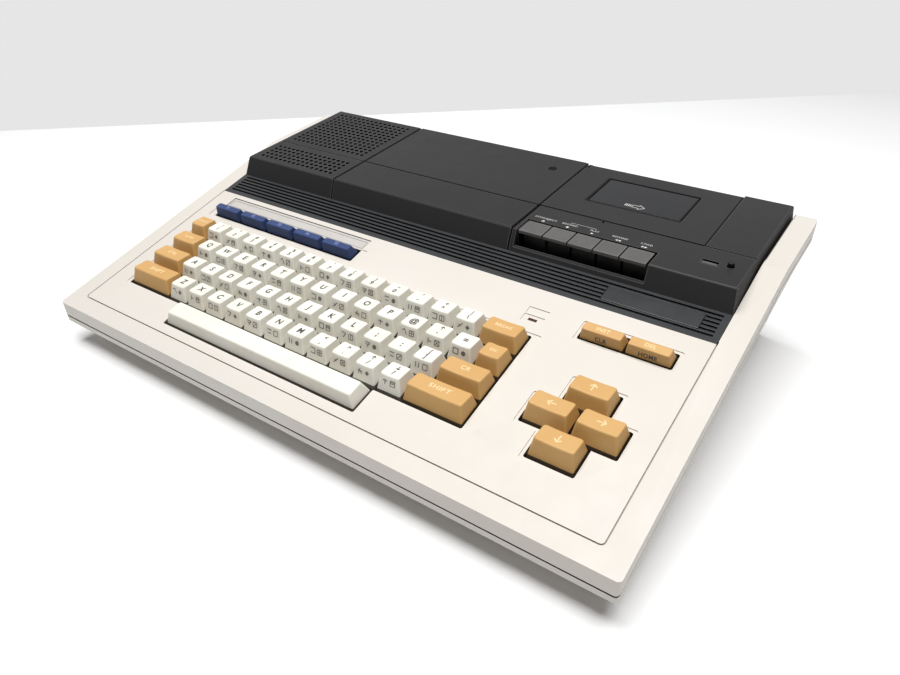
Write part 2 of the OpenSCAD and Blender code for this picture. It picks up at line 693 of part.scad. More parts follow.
// Where the stems are: [x, s] of every one
stems = [
    for (r = [0:3], i = [0:white_n[r] - 1])
        [keys_x + (white_x[r] + i + 0.5) * key_pitch, row_s[r] + key_pitch / 2],
    for (k = [[0, 0, 1], [0, 14, 1.5], [1, 0, 1.5], [1, 14.5, 1], [2, 0, 1.75], [2, 13.75, 1.75],
            [3, 0, 2.25], [3, 13.25, 2.25]])
        [keys_x + (k[1] + k[2] / 2) * key_pitch, row_s[k[0]] + key_pitch / 2],
    for (d = [-60, 0, 60])
        [keys_x + (space_x + space_w / 2) * key_pitch + d, row_s[4] + key_pitch / 2],
    [cursor_x, row_s[1] + key_pitch / 2], [cursor_x, row_s[3] + key_pitch / 2],
    [cursor_x - cursor_half, row_s[2] + key_pitch / 2],
    [cursor_x + cursor_half, row_s[2] + key_pitch / 2],
    for (x = [cursor_x - cursor_half, cursor_x + cursor_half]) [x, slim_s + slim_d / 2],
    for (i = [0:4]) [slim_x + (i + 0.5) * slim_w, slim_s + slim_d / 2]
];
module key_frame() color("#7d7f80") on_panel() difference() {
    union() {
        box(board_x0, board_x1, board_s0, board_s1 + 4, frame_t - frame_h, frame_t);
        for (p = stems) translate([p[0] - guide_out / 2, p[1] - guide_out / 2, frame_t - 1])
            cube([guide_out, guide_out, guide_top - frame_t + 1]);
    }
    for (p = stems) translate([p[0] - guide_w / 2, p[1] - guide_w / 2, frame_t - 5])
        cube([guide_w, guide_w, 20]);
}
module key_contacts() color("#3a3a3c") on_panel()
    for (p = stems) translate([p[0], p[1], board_t]) cylinder(r = 3.2, h = pad_h);
module key_board() color("#2f6a45") on_panel() union() {
    box(board_x0, board_x1, board_s0, board_s1, board_t - board_h, board_t);
    for (x = [board_x0 + 3, 14, board_x1 - 3], s = [board_s1 - 3]) rod(x, s, board_t - e, frame_t - frame_h, 2.4);
    for (x = [-135, 128], s = [board_s0 + 6]) rod(x, s, board_t - e, frame_t - frame_h, 2.4);
}

/* Small parts on the panel */
module label_card() color("#e9e6da") on_panel()
    round_box(slim_well[0] - 0.6, slim_well[1] + 0.9, card_s + 0.3, card_s + card_d + 0.3, -1.2, -0.7, 0.6);
module lamp_lens() color("#b8402c") on_panel() union() {
    box(99.3, 104.9, slim_s + 1.1, slim_s + 2.9, -4, -0.5);
    box(98, 106.2, slim_s - 0.2, slim_s + 4.2, -5, -panel_t * 1.04);
}

/* Inside */
module main_board() color("#2f6a45") translate([0, -yf, 0]) union() {
    box(86 - in_x, in_x, -163, -10, 11, 12.6);
    for (i = [0:5]) box(-30 + i * 30, -16 + i * 30, -103, -71, 12, 16);
    for (i = [0:3]) box(106 - in_x + i * 12, 113 - in_x + i * 12, -143, -123, 12, 15.5);
    box(-20, 32, -143, -129, 12, 16.5);
    box(60, 112, -143, -129, 12, 16.5);
    for (x = [98 - in_x, 110 - in_x, 140]) rod(x, -53, 12, 26, 5);
    box(-70, -40, -57, -37, 12, 24);
}
module power_supply() color("#c9c6bd") translate([-in_x, -yf, 0]) union() {
    box(0, 74, -77, -14, 9, 10.6);
    box(26, 62, -63, -31, 10, 50);
    box(20, 68, -59, -35, 16, 44);
    for (x = [8, 28]) rod(x, -70.5, 10, 34, 5.5);
    for (i = [0:4]) box(2, 16, -53 + i * 5, -51.4 + i * 5, 10, 26);
    box(2, 16, -53, -31.4, 10, 12);
}
module speaker() color("#3c3c3e") on_deck() translate([vent_x, 3, -0.3]) union() {
    rod(0, 28, -skin - 4, -skin, 27);
    rod(0, 28, -skin - 13, -skin - 3, 19);
    rod(0, 28, -skin - 20, -skin - 12, 13);
}

/* Tape mechanism */
module tape_chassis() color("#b9bab8") on_deck() {
    difference() {
        union() {
            box(rec_x0 + 0.6, door_x1 + 13, chassis_v0, chassis_v1, chassis_w, bridge_w);
            // brackets for the button shaft
            for (x = [btn_x0 + 0.6, btn_x0 + buttons_w - 3]) {
                box(x, x + 2, shaft_v - 3.5, chassis_v0 + 8, shaft_w - 4.5, chassis_w + 0.5);
            }
            // bearing of the capstan, reel pins
            rod(capstan_x, capstan_v, wheel_w + wheel_h + 1, chassis_w + 1, 4);
            // posts of the motor
            for (a = [90, 180, 270]) translate([motor_x, motor_v, 0]) rotate([0, 0, belt_a + a])
                rod(10.5, 0, wheel_w - 2, chassis_w + 1, 1.6);
        }
        rod(capstan_x, capstan_v, -50, 0, capstan_r + run_gap);
    }
    bar_x(btn_x0 + 0.7, btn_x0 + buttons_w - 1.1, shaft_v, shaft_w, shaft_r);
    for (x = reel_x) rod(x, reel_v, chassis_w + 1, -9, 1.2 - run_gap);
    for (x = [door_mid - 20, door_mid + 12]) box(x - 1.5, x + 1.5, guide_v, guide_v + 1.5, chassis_w + 1, bridge_w + 3);
}
module reel(i) color("#e8e4da") on_deck() translate([reel_x[i], reel_v, 0]) difference() {
    union() {
        rod(0, 0, bridge_w + 0.4, bridge_w + 2.4, 9);
        rod(0, 0, bridge_w + 2, -7, 3);
        for (a = [0, 120, 240]) rotate([0, 0, a]) box(2, 4.4, -0.7, 0.7, bridge_w + 2, -8);
    }
    rod(0, 0, -30, -8.6, 1.2);
}
module reel_left() reel(0);
module reel_right() reel(1);
module flywheel() color("#a3a5a6") on_deck() translate([capstan_x, capstan_v, 0]) difference() {
    union() {
        rod(0, 0, wheel_w, wheel_w + wheel_h, flywheel_r);
        rod(0, 0, wheel_w, -7, capstan_r);
        rod(0, 0, wheel_w, wheel_w + wheel_h + 0.6, 5);
    }
    translate([0, 0, wheel_w + 1.2]) difference() {
        cylinder(r = flywheel_r + 1, h = 2);
        translate([0, 0, -1]) cylinder(r = flywheel_r - 1, h = 4);
    }
}
module tape_motor() color("#a9abab") on_deck() translate([motor_x, motor_v, 0]) union() {
    rod(0, 0, wheel_w - 20, wheel_w - 2, 13.5);
    rod(0, 0, wheel_w - 2.2, wheel_w - 1, 3.2);
    rod(0, 0, wheel_w - 3, wheel_w + wheel_h + 1, 1);
}
module motor_pulley() color("#c8a75c") on_deck() translate([motor_x, motor_v, 0]) difference() {
    union() {
        rod(0, 0, wheel_w, wheel_w + wheel_h, pulley_r - 1);
        rod(0, 0, wheel_w - 0.4, wheel_w + 1.2, pulley_r);
        rod(0, 0, wheel_w + 3.2, wheel_w + wheel_h, pulley_r);
    }
    rod(0, 0, -60, 0, 1 + run_gap);
}
// Outline of a loop over two wheels a distance d apart on the X axis
function arc(x, r, a0, a1, n) = [for (i = [0:n]) let (a = a0 + (a1 - a0) * i / n) [x + r * cos(a), r * sin(a)]];
function belt_line(r1, r2, d) = let (a = acos((r1 - r2) / d))
    concat(arc(0, r1, a, 360 - a, 16), arc(d, r2, -a, a, 60));
belt_d = sqrt(pow(capstan_x - motor_x, 2) + pow(capstan_v - motor_v, 2));
belt_a = atan2(capstan_v - motor_v, capstan_x - motor_x);
module drive_belt() color("#252527") on_deck() translate([motor_x, motor_v, wheel_w + 1.5])
    rotate([0, 0, belt_a]) difference() {
        linear_extrude(1.4) polygon(belt_line(pulley_r + 0.2, flywheel_r + 0.2, belt_d));
        translate([0, 0, -1]) linear_extrude(4) polygon(belt_line(pulley_r - 0.6, flywheel_r - 0.6, belt_d));
    }
module head_bridge() color("#c4c5c3") on_deck() {
    difference() {
        box(door_mid - 30, capstan_x + 3, plate_v0, plate_v1, bridge_w + bridge_gap, bridge_w + 1.8);
        for (x = [door_mid - 20, door_mid + 12])
            box(x - 1.9, x + 1.9, guide_v - bridge_travel - 0.4, guide_v + 1.9, -30, 0);
    }
    box(door_mid - 6, door_mid + 6, plate_v0 + 1.5, plate_v1 - 1, bridge_w + 1, -7.5);
    box(door_mid - 28, door_mid - 23, plate_v0 + 1.5, plate_v1 - 1.5, bridge_w + 1, -8);
    rod(capstan_x, roller_v, bridge_w + bridge_gap, -6.8, 1);
}
module pinch_roller() color("#2b2b2d") on_deck() translate([capstan_x, roller_v, 0]) difference() {
    rod(0, 0, bridge_w + 3.2, -7.4, roller_r);
    rod(0, 0, -30, 0, 1 + run_gap);
}

/* Rear */
module rear_sockets() color("#2c2c2e") translate([0, yf + case_d, rear_z]) {
    difference() {
        union() {
            box(inlet_x - 14, inlet_x + 14, -22, -0.6, -10, 10);
            for (x = [-90, -60]) bar_y(x, -18, -0.8, -3, 8);
            for (x = [-90, -60]) box(x - 9, x + 9, -18, -4.2, -12, 6);
            for (x = [-36, -18]) bar_y(x, -18, -0.2, -3, 4.4);
            for (x = [-36, -18]) box(x - 7, x + 7, -18, -4.2, -10, 4);
            box(rocker_x - 8.5, rocker_x + 8.5, -18, -4.2, -12, 12);
            for (x = [10, 110]) box(x + 0.6, x + (x < 50 ? 73.4 : 55.4), -16, -0.8, -13.4, 5.4);
            box(inlet_x + 12, 166, -24, -16, -14, -12);
        }
        box(inlet_x - 11, inlet_x + 11, -16, 1, -7, 7);
        for (x = [-90, -60]) bar_y(x, -10, 1, -3, 6.6);
        for (x = [-36, -18]) bar_y(x, -10, 5, -3, 2.4);
        box(rocker_x - 6.6, rocker_x + 6.6, -15, 1, -10.2, 10.2);
        for (x = [10, 110]) box(x + 5, x + (x < 50 ? 69 : 51), -12, 1, -6.5, -1.5);
    }
    for (x = [-7, 2.8]) bar_x(rocker_x + x, rocker_x + x + 4.2, -6, 0, 1);
    for (x = [-6, 0, 6]) box(inlet_x + x - 1, inlet_x + x + 1, -17, -4, -2, 2);
}
module power_rocker() color("#1f1f21") translate([rocker_x, yf + case_d - 6, rear_z]) rotate([-8, 0, 0])
    difference() {
        translate([-6.1, 0, 0]) rotate([90, 0, 90]) linear_extrude(12.2) polygon([
            [-5, -6], [-5, 6], [1, 9], [4.4, 9], [3.4, 0], [4.4, -9], [1, -9]
        ]);
        bar_x(-20, 20, 0, 0, 1 + run_gap);
    }
module feet() color("#2b2b2c") for (x = [-foot_x, foot_x], y = foot_y) {
    rod(x, yf + y, 0, foot_h, foot_r);
    rod(x, yf + y, 0, foot_h + 1, foot_r - 2.3);
}
module case_screws() color("#b5b6b4") for (i = [0:2], x = [-post_x, post_x]) difference() {
    union() {
        rod(x, yf + post_y[i], post_top[i] - 8.5, post_top[i] - 6, 3);
        rod(x, yf + post_y[i], post_top[i] - 7, post_top[i] + 6, screw_r - run_gap);
    }
    box(x - 2, x + 2, yf + post_y[i] - 0.4, yf + post_y[i] + 0.4, post_top[i] - 9, post_top[i] - 7.6);
}

bottom_case();
top_case();
ribbed_strip();
name_plate();
grille_cover();
bay_cover();
recorder_case();
cassette_door();
cassette_window();
label_card();
lamp_lens();
button_record();
button_rewind();
button_play();
button_forward();
button_stop();
button_counter();
space_bar();
key_row_1();
key_row_2();
key_row_3();
key_row_4();
key_graph();
key_alpha();
key_control();
key_shift_left();
key_break();
key_blank();
key_return();
key_shift_right();
key_up();
key_left();
key_right();
key_down();
key_insert();
key_delete();
key_f1();
key_f2();
key_f3();
key_f4();
key_f5();
key_frame();
key_contacts();
key_board();
main_board();
power_supply();
speaker();
tape_chassis();
reel_left();
reel_right();
flywheel();
tape_motor();
motor_pulley();
drive_belt();
head_bridge();
pinch_roller();
rear_sockets();
power_rocker();
feet();
case_screws();
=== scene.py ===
"""Looks of a vintage home computer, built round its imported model.

Everything is in metres in the model's own frame: X along the keyboard, Y from the front edge to
the back, Z up. Small sizes are written in millimetres and scaled once, by the two sloping frames
below. The panel frame lies on the keyboard panel, the deck frame on the tops of the modules.
"""
import math

import bmesh
import bpy
from bpy.props import FloatProperty, FloatVectorProperty, PointerProperty, StringProperty
from mathutils import Matrix, Vector


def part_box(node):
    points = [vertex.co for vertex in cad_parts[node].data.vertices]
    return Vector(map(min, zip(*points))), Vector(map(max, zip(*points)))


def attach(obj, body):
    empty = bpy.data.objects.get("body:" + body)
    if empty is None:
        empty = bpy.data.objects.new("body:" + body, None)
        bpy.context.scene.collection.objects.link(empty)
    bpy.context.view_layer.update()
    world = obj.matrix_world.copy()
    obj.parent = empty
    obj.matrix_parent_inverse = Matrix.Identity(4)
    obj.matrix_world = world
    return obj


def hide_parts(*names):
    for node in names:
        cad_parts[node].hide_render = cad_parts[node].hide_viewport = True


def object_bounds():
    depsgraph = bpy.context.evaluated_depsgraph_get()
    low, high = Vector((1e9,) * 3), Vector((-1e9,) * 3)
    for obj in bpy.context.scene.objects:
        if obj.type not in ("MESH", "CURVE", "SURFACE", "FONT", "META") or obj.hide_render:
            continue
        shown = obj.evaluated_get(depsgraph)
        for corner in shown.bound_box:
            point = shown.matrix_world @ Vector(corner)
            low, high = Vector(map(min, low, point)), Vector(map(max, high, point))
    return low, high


bl_info = {
    "name": "Vintage Home Computer",
    "version": (1, 0, 0),
    "blender": (4, 5, 0),
    "location": "View3D > Sidebar > Computer",
    "description": "Dresses the packed model of a wedge-shaped home computer",
    "category": "Object",
}

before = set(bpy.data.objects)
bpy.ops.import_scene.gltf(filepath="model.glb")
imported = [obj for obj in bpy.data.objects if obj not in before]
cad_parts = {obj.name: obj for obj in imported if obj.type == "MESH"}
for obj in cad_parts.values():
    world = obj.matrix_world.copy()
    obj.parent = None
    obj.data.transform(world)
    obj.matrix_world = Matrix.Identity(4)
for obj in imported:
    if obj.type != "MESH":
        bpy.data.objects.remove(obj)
CAD_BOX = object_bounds()
MM = 0.001
SCRIPT_IMAGE = (900, 675)


# ---------------------------------------------------------------------------
# Settings


class CaseSettings(bpy.types.PropertyGroup):
    """Edges and colours of the case and the modules."""

    edge_radius: FloatProperty(
        name="Edge radius",
        description="Rounding of the case's edges",
        default=0.0008,
        unit="LENGTH",
    )
    cream: StringProperty(name="Cream", description="Colour of the case", default="#c5c0b9")
    black: StringProperty(name="Black", description="Colour of the modules", default="#302f2f")


class KeySettings(bpy.types.PropertyGroup):
    """Sizes of the key caps, in millimetres, and their colours."""

    gap: FloatProperty(name="Gap", description="Space between neighbouring caps", default=0.9)
    rise: FloatProperty(name="Rise", description="Height of the tops above the panel", default=9.5)
    dish: FloatProperty(name="Dish", description="Depth of the hollow in the tops", default=0.6)
    edge: FloatProperty(name="Edge", description="Rounding of the top edges", default=0.9)
    white: StringProperty(name="White", description="Colour of the letter keys", default="#dbd9cf")
    orange: StringProperty(
        name="Orange", description="Colour of the command keys", default="#be965b"
    )
    blue: StringProperty(name="Blue", description="Colour of the function keys", default="#31426c")


class StageSettings(bpy.types.PropertyGroup):
    """Camera, table, wall and lamp."""

    camera: FloatVectorProperty(
        name="Camera",
        description="Place of the camera",
        default=(0.27896, -0.35261, 0.29562),
        subtype="TRANSLATION",
    )
    target: FloatVectorProperty(
        name="Target",
        description="Point the camera looks at",
        default=(0.03197, -0.00721, 0.0),
        subtype="TRANSLATION",
    )
    roll: FloatProperty(
        name="Roll",
        description="Roll of the camera",
        default=math.radians(-0.893),
        subtype="ANGLE",
    )
    focal_px: FloatProperty(
        name="Focal length", description="In pixels of the image", default=719.9
    )
    axis_px: FloatVectorProperty(
        name="Axis",
        description="Where the camera's axis meets the image, in pixels",
        size=2,
        default=(453.49, 358.51),
    )
    floor: StringProperty(name="Floor", description="Colour of the table", default="#f3f3f3")
    wall: StringProperty(
        name="Wall", description="Colour of the wall behind the table", default="#e6e6e7"
    )
    far_edge: FloatVectorProperty(
        name="Far edge",
        description="A point on the table's far edge",
        default=(-0.785, 0.0904, 0.0),
        subtype="TRANSLATION",
    )
    far_turn: FloatProperty(
        name="Far turn",
        description="Turn of the table's far edge",
        default=math.radians(41.03),
        subtype="ANGLE",
    )
    lamp: FloatVectorProperty(
        name="Lamp",
        description="Place of the ceiling lamp, which shines straight down",
        default=(0.05, -0.1, 1.5),
        subtype="TRANSLATION",
    )
    lamp_size: FloatVectorProperty(
        name="Lamp size",
        description="Width and depth of the ceiling lamp",
        size=2,
        default=(1.6, 1.0),
        unit="LENGTH",
    )
    lamp_power: FloatProperty(
        name="Lamp power", description="Power of the ceiling lamp", default=40.0, unit="POWER"
    )
    glow: StringProperty(
        name="Glow", description="Colour of the room's own faint light", default="#f3f5f8"
    )
    glow_strength: FloatProperty(
        name="Glow strength", description="Strength of the room's own faint light", default=0.12
    )


# ---------------------------------------------------------------------------
# Frames and small helpers

case_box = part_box("top_case")
bay_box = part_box("bay_cover")
FRONT_Y = case_box[0].y
KEY_SLOPE = math.radians(14.5)
REAR_SLOPE = math.radians(4.9)
FRONT_H = 0.033
# the bay's front face leans back by DECK_LEAN from BAY_GAP behind its neighbour, and its highest
# point lies REAR_EDGE before its rear side
DECK_LEAN = 5.3 * MM
BAY_GAP = 0.2 * MM
REAR_EDGE = 0.8 * MM
DECK_Y = bay_box[0].y - BAY_GAP + DECK_LEAN
DECK_Z = (
    CAD_BOX[1].z + REAR_EDGE * math.tan(REAR_SLOPE) - (bay_box[1].y - DECK_Y) * math.tan(REAR_SLOPE)
)


def sloping(y, z, slope):
    """The frame of a sloping face, in mm, from a point on its front edge."""
    return Matrix.Translation((0, y, z)) @ Matrix.Rotation(slope, 4, "X") @ Matrix.Scale(MM, 4)


PANEL = sloping(FRONT_Y, FRONT_H, KEY_SLOPE)
DECK = sloping(DECK_Y, DECK_Z, REAR_SLOPE)

# rounding of a CAD node: points this close become one, in mm, faces flatter than this become one
# and edges sharper than this stay creases, in degrees
WELD, FLAT, CREASE = 0.002, 0.5, 9.4


def linear(colour):
    """sRGB hex to the linear values that the shader takes."""
    parts = [int(colour[i : i + 2], 16) / 255 for i in (1, 3, 5)]
    return [p / 12.92 if p <= 0.04045 else ((p + 0.055) / 1.055) ** 2.4 for p in parts] + [1.0]


def put(tree, kind, settings=None, inputs=None):
    """Adds a node with its settings, values and links."""
    node = tree.nodes.new(kind)
    for key, value in (settings or {}).items():
        setattr(node, key, value)
    for key, value in (inputs or {}).items():
        if isinstance(value, bpy.types.NodeSocket):
            tree.links.new(value, node.inputs[key])
        else:
            node.inputs[key].default_value = value
    return node


def dress(name, material, edge, segments=3, angle=30):
    """Gives a CAD node its material, and rounds by edge mm what is sharper than an angle."""
    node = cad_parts[name]
    node.data.materials.clear()
    node.data.materials.append(material)
    if edge:
        for face in node.data.polygons:
            face.use_smooth = True
        if "custom_normal" in node.data.attributes:
            node.data.attributes.remove(node.data.attributes["custom_normal"])
        weld = node.modifiers.new("weld", "WELD")
        weld.merge_threshold = WELD * MM
        flat = node.modifiers.new("flat", "DECIMATE")
        flat.decimate_type = "DISSOLVE"
        flat.angle_limit = math.radians(FLAT)
        bevel = node.modifiers.new("edges", "BEVEL")
        bevel.width = edge * MM
        bevel.segments = segments
        bevel.limit_method = "ANGLE"
        bevel.angle_limit = math.radians(angle)
        split = node.modifiers.new("creases", "EDGE_SPLIT")
        split.split_angle = math.radians(CREASE)


def keep(name, bm, material, body, replaces, matrix):
    """Turns a bmesh, drawn in a sloping frame's mm, into a piece that rides on a body."""
    bm.transform(matrix)
    mesh = bpy.data.meshes.new(name)
    bm.normal_update()
    bm.to_mesh(mesh)
    bm.free()
    piece = bpy.data.objects.new(name, mesh)
    bpy.context.scene.collection.objects.link(piece)
    mesh.materials.append(material)
    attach(piece, body)
    if replaces:
        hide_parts(*replaces)
    return piece


def soften(piece):
    """Smooth shading in which the large flat faces still look flat."""
    for face in piece.data.polygons:
        face.use_smooth = True
    piece.modifiers.new("shading", "WEIGHTED_NORMAL")


def rounded_outline(x0, x1, y0, y1, radius, steps=6, between=0):
    """Points round a rounded rectangle, anticlockwise from the right side's lower corner.

    between adds points along the front and back sides, where a surface bends across them.
    """
    points = []
    corners = ((x1, y0, -90), (x1, y1, 0), (x0, y1, 90), (x0, y0, 180))
    for x, y, start in corners:
        cx = x - radius if x == x1 else x + radius
        cy = y - radius if y == y1 else y + radius
        for k in range(steps + 1):
            a = math.radians(start + 90 * k / steps)
            points.append((cx + radius * math.cos(a), cy + radius * math.sin(a)))
        if start in (0, 180):
            far = x0 + x1 - cx
            points += [(cx + (far - cx) * k / (between + 1), y) for k in range(1, between + 1)]
    return points


def bridge(bm, low, high):
    """Faces between two rings of the same count."""
    for i in range(len(low)):
        j = (i + 1) % len(low)
        bm.faces.new((low[i], low[j], high[j], high[i]))


def flat(px=0.0, py=0.0, pz=0.0):
    """A place function: takes a point in mm to the same point beside a spot on a flat face."""
    return lambda x, y, z: (px + x, py + y, pz + z)


def slab(bm, outline, z0, z1, place=flat()):
    """A closed plate with a given outline, taken to a surface by its place function."""
    low = [bm.verts.new(place(x, y, z0)) for x, y in outline]
    high = [bm.verts.new(place(x, y, z1)) for x, y in outline]
    bridge(bm, low, high)
    bm.faces.new(list(reversed(low)))
    bm.faces.new(high)


# ---------------------------------------------------------------------------
# Printed legends: closed slabs of ink, from the built-in font or drawn from strokes

INK = 0.06  # thickness in mm
PROUD = 0.02  # how far its middle stands off the cap, in mm
CAPITAL = 0.7  # height of a capital to the font's size
letter_cache = {}


def letters(text):
    """Vertices and faces of a word, one unit high, centred."""
    if text not in letter_cache:
        curve = bpy.data.curves.new("word", "FONT")
        curve.body = text
        curve.align_x, curve.align_y = "CENTER", "CENTER"
        curve.size = 1.0
        curve.resolution_u = 3
        curve.extrude = 0.5
        curve.offset = 0.03
        curve.space_character = 1.12
        maker = bpy.data.objects.new("word", curve)
        bpy.context.scene.collection.objects.link(maker)
        bpy.context.view_layer.update()
        graph = bpy.context.evaluated_depsgraph_get()
        mesh = bpy.data.meshes.new_from_object(maker.evaluated_get(graph))
        letter_cache[text] = (
            [v.co.copy() for v in mesh.vertices],
            [tuple(f.vertices) for f in mesh.polygons],
        )
        bpy.data.objects.remove(maker)
        bpy.data.curves.remove(curve)
        bpy.data.meshes.remove(mesh)
    return letter_cache[text]


def print_word(bm, text, place, size, width):
    """Prints a word: place takes a flat point in mm to the surface.

    size is the height of its capitals, and width how wide they are drawn, one being the font's own.
    """
    verts, faces = letters(text)
    scale = size / CAPITAL
    made = [bm.verts.new(place(v.x * scale * width, v.y * scale, v.z * INK)) for v in verts]
    for face in faces:
        try:
            bm.faces.new([made[i] for i in face])
        except ValueError:
            # bmesh refuses a face that is there already
            pass


def print_shape(bm, outline, place):
    """Prints one filled outline, given in mm."""
    slab(bm, outline, -INK / 2, INK / 2, place)


def stroke(x0, y0, x1, y1, width):
    """Outline of a straight stroke."""
    dx, dy = x1 - x0, y1 - y0
    length = math.hypot(dx, dy)
    nx, ny = -dy / length * width / 2, dx / length * width / 2
    return [(x0 - nx, y0 - ny), (x1 - nx, y1 - ny), (x1 + nx, y1 + ny), (x0 + nx, y0 + ny)]


def disc(x, y, radius, count=14):
    """Outline of a filled circle."""
    angles = [2 * math.pi * k / count for k in range(count)]
    return [(x + radius * math.cos(a), y + radius * math.sin(a)) for a in angles]


# ---------------------------------------------------------------------------
# Key caps

# in mm: the least corner radii at a cap's foot and anywhere; as shares: the heights of its rings
# and how far its top edge goes in; then the rings and points of its dish, and its stem in mm
FOOT_CORNER, LEAST_CORNER = 0.8, 0.35
WALL_LEVELS = (0.0, 0.04, 0.35, 0.7)
EDGE_STEPS = 4
EDGE_INSET = 0.8
DISH_RINGS = (0.93, 0.8, 0.62, 0.4, 0.18)
DISH_POINTS = 7
STEM_HALF, STEM_FOOT, STEM_GAP = 1.7, -15.0, 0.02


class Cap:
    """One key cap on the panel, all in mm.

    It has a cell, the height, insets and tilt of its top, the depth of its dish, the gap to its
    neighbours, the rounding of its top edge, how far its skirt reaches down, and its top's corners.
    """

    def __init__(self, cell, rise, insets, dish, gap, edge, tilt=0.0, skirt=3.6, corner=1.9):
        self.x0, self.x1, self.s0, self.s1 = cell
        self.rise, self.dish, self.tilt = rise, dish, tilt
        self.gap, self.edge, self.skirt, self.corner = gap, edge, skirt, corner
        self.front, self.back, self.side = insets
        self.xm = (self.x0 + self.x1) / 2
        self.half = (self.x1 - self.x0) / 2 - self.side
        self.near, self.far = self.s0 + self.front, self.s1 - self.back
        self.middle = (self.near + self.far) / 2

    def top(self, x, s):
        """Height of the top face, which falls towards its rear edge."""
        across = min(abs(x - self.xm) / self.half, 1.0)
        along = min(max((s - self.near) / (self.far - self.near), 0.0), 1.0)
        return self.rise - self.tilt * along - self.dish * (1 - across * across)

    def ring(self, bm, up, inset=0.0):
        """A ring of points round the cap at a fraction of its height."""
        g = self.gap / 2
        outline = rounded_outline(
            self.x0 + g + (self.side - g) * up + inset,
            self.x1 - g - (self.side - g) * up - inset,
            self.s0 + g + (self.front - g) * up + inset,
            self.s1 - g - (self.back - g) * up - inset,
            max(FOOT_CORNER + (self.corner - FOOT_CORNER) * up - 0.5 * inset, LEAST_CORNER),
            between=DISH_POINTS if self.dish else 0,
        )
        low = -self.skirt
        return [bm.verts.new((x, s, low + up * (self.top(x, s) - low))) for x, s in outline]

    def build(self, bm):
        """Skirt, walls, rounded top edge and dished top, closed below."""
        level = 1 - self.edge / (self.rise + self.skirt)
        rings = [self.ring(bm, up) for up in WALL_LEVELS + (level,)]
        for k in range(1, EDGE_STEPS + 1):
            a = math.radians(90 * k / EDGE_STEPS)
            inset = self.edge * EDGE_INSET * (1 - math.cos(a))
            rings.append(self.ring(bm, level + (1 - level) * math.sin(a), inset))
        outline = [v.co.copy() for v in rings[-1]]
        sm = (min(v.y for v in outline) + max(v.y for v in outline)) / 2
        for shrink in DISH_RINGS:
            ring = []
            for v in outline:
                x, s = self.xm + (v.x - self.xm) * shrink, sm + (v.y - sm) * shrink
                ring.append(bm.verts.new((x, s, self.top(x, s))))
            rings.append(ring)
        for low, high in zip(rings, rings[1:]):
            bridge(bm, low, high)
        centre = bm.verts.new((self.xm, sm, self.top(self.xm, sm)))
        last = rings[-1]
        for i in range(len(last)):
            bm.faces.new((last[i], last[(i + 1) % len(last)], centre))
        bm.faces.new(list(reversed(rings[0])))

    def on_top(self, dx=0.0, ds=0.0):
        """A place function for a legend on the top."""

        def place(x, y, z):
            px, ps = self.xm + dx + x, self.middle + ds + y
            return (px, ps, self.top(px, ps) + PROUD + z)

        return place

    def on_front(self, dx, up):
        """A place function for a legend on the sloping front face, so far up it."""
        g = self.gap / 2
        run, climb = self.front - g, self.rise - self.dish + self.skirt
        length = math.hypot(run, climb)
        cos_a, sin_a = run / length, climb / length

        def place(x, y, z):
            px, part = self.xm + dx + x, up + y / length
            return (
                px,
                self.s0 + g + part * run - (z + PROUD) * sin_a,
                -self.skirt + part * (self.top(px, self.near) + self.skirt) + (z + PROUD) * cos_a,
            )

        return place


# the keyboard's step, the lower left corners of its fields and the size of a slim key
PITCH = 19.05
KEYS_X, KEYS_S = -186.7, 20.2
LAST_ROW = 4
CURSOR_X, CURSOR_HALF = 161.8, 14.2875
SLIM_X, SLIM_W, SLIM_S, SLIM_D = -186.7, 28.6, 126.1, 12.0
# insets of the tops at the front, the rear and the sides
WIDE_INSETS, SPACE_INSETS = (6.7, 0.6, 2.8), (4.6, 3.2, 4.0)
EDIT_INSETS, FUNCTION_INSETS = (1.6, 3.8, 2.1), (1.9, 4.6, 2.1)
WIDE_TILT = 2.2
SPACE_RISE = 7.5
SLIM = dict(rise=7.0, dish=0.0, edge=0.7, corner=1.3)
SPACE_CELL = (3.25, 9, LAST_ROW)
SPACE_STEMS = (-60.0, 0.0, 60.0)
# name: row, place of its first key in pitches, what its keys are printed with
WHITE_ROWS = {
    "key_row_1": (0, 1.0, ["1", "2", "3", "4", "5", "6", "7", "8", "9", "0", "-", "^", "\\"]),
    "key_row_2": (1, 1.5, ["Q", "W", "E", "R", "T", "Y", "U", "I", "O", "P", "@", "-", "="]),
    "key_row_3": (2, 1.75, ["A", "S", "D", "F", "G", "H", "J", "K", "L", ";", ":", "]"]),
    "key_row_4": (3, 2.25, ["Z", "X", "C", "V", "B", "N", "M", ",", ".", "/", "?"]),
}
# what stands above the main sign of a key
SHIFTED = {
    "key_row_1": ["!", '"', "#", "$", "%", "&", "'", "(", ")", "~", "*", "+", "|"],
    "key_row_2": [""] * 11 + ["up", ""],
    "key_row_3": [""] * 11 + ["["],
    "key_row_4": [""] * 7 + ["<", ">", "up", "down"],
}
# name: row, place and width in pitches, word
ORANGE_KEYS = {
    "key_graph": (0, 0.0, 1.0, "GRAPH"),
    "key_alpha": (1, 0.0, 1.5, "ALPHA"),
    "key_control": (2, 0.0, 1.75, "CTRL"),
    "key_shift_left": (3, 0.0, 2.25, "SHIFT"),
    "key_break": (0, 14.0, 1.5, "BREAK"),
    "key_blank": (1, 14.5, 1.0, "ESC"),
    "key_return": (2, 13.75, 1.75, "CR"),
    "key_shift_right": (3, 13.25, 2.25, "SHIFT"),
}
# name: place beside the middle, row, turn of the arrow
CURSOR_KEYS = {
    "key_up": (0.0, 1, 90),
    "key_left": (-CURSOR_HALF, 2, 180),
    "key_right": (CURSOR_HALF, 2, 0),
    "key_down": (0.0, 3, 270),
}


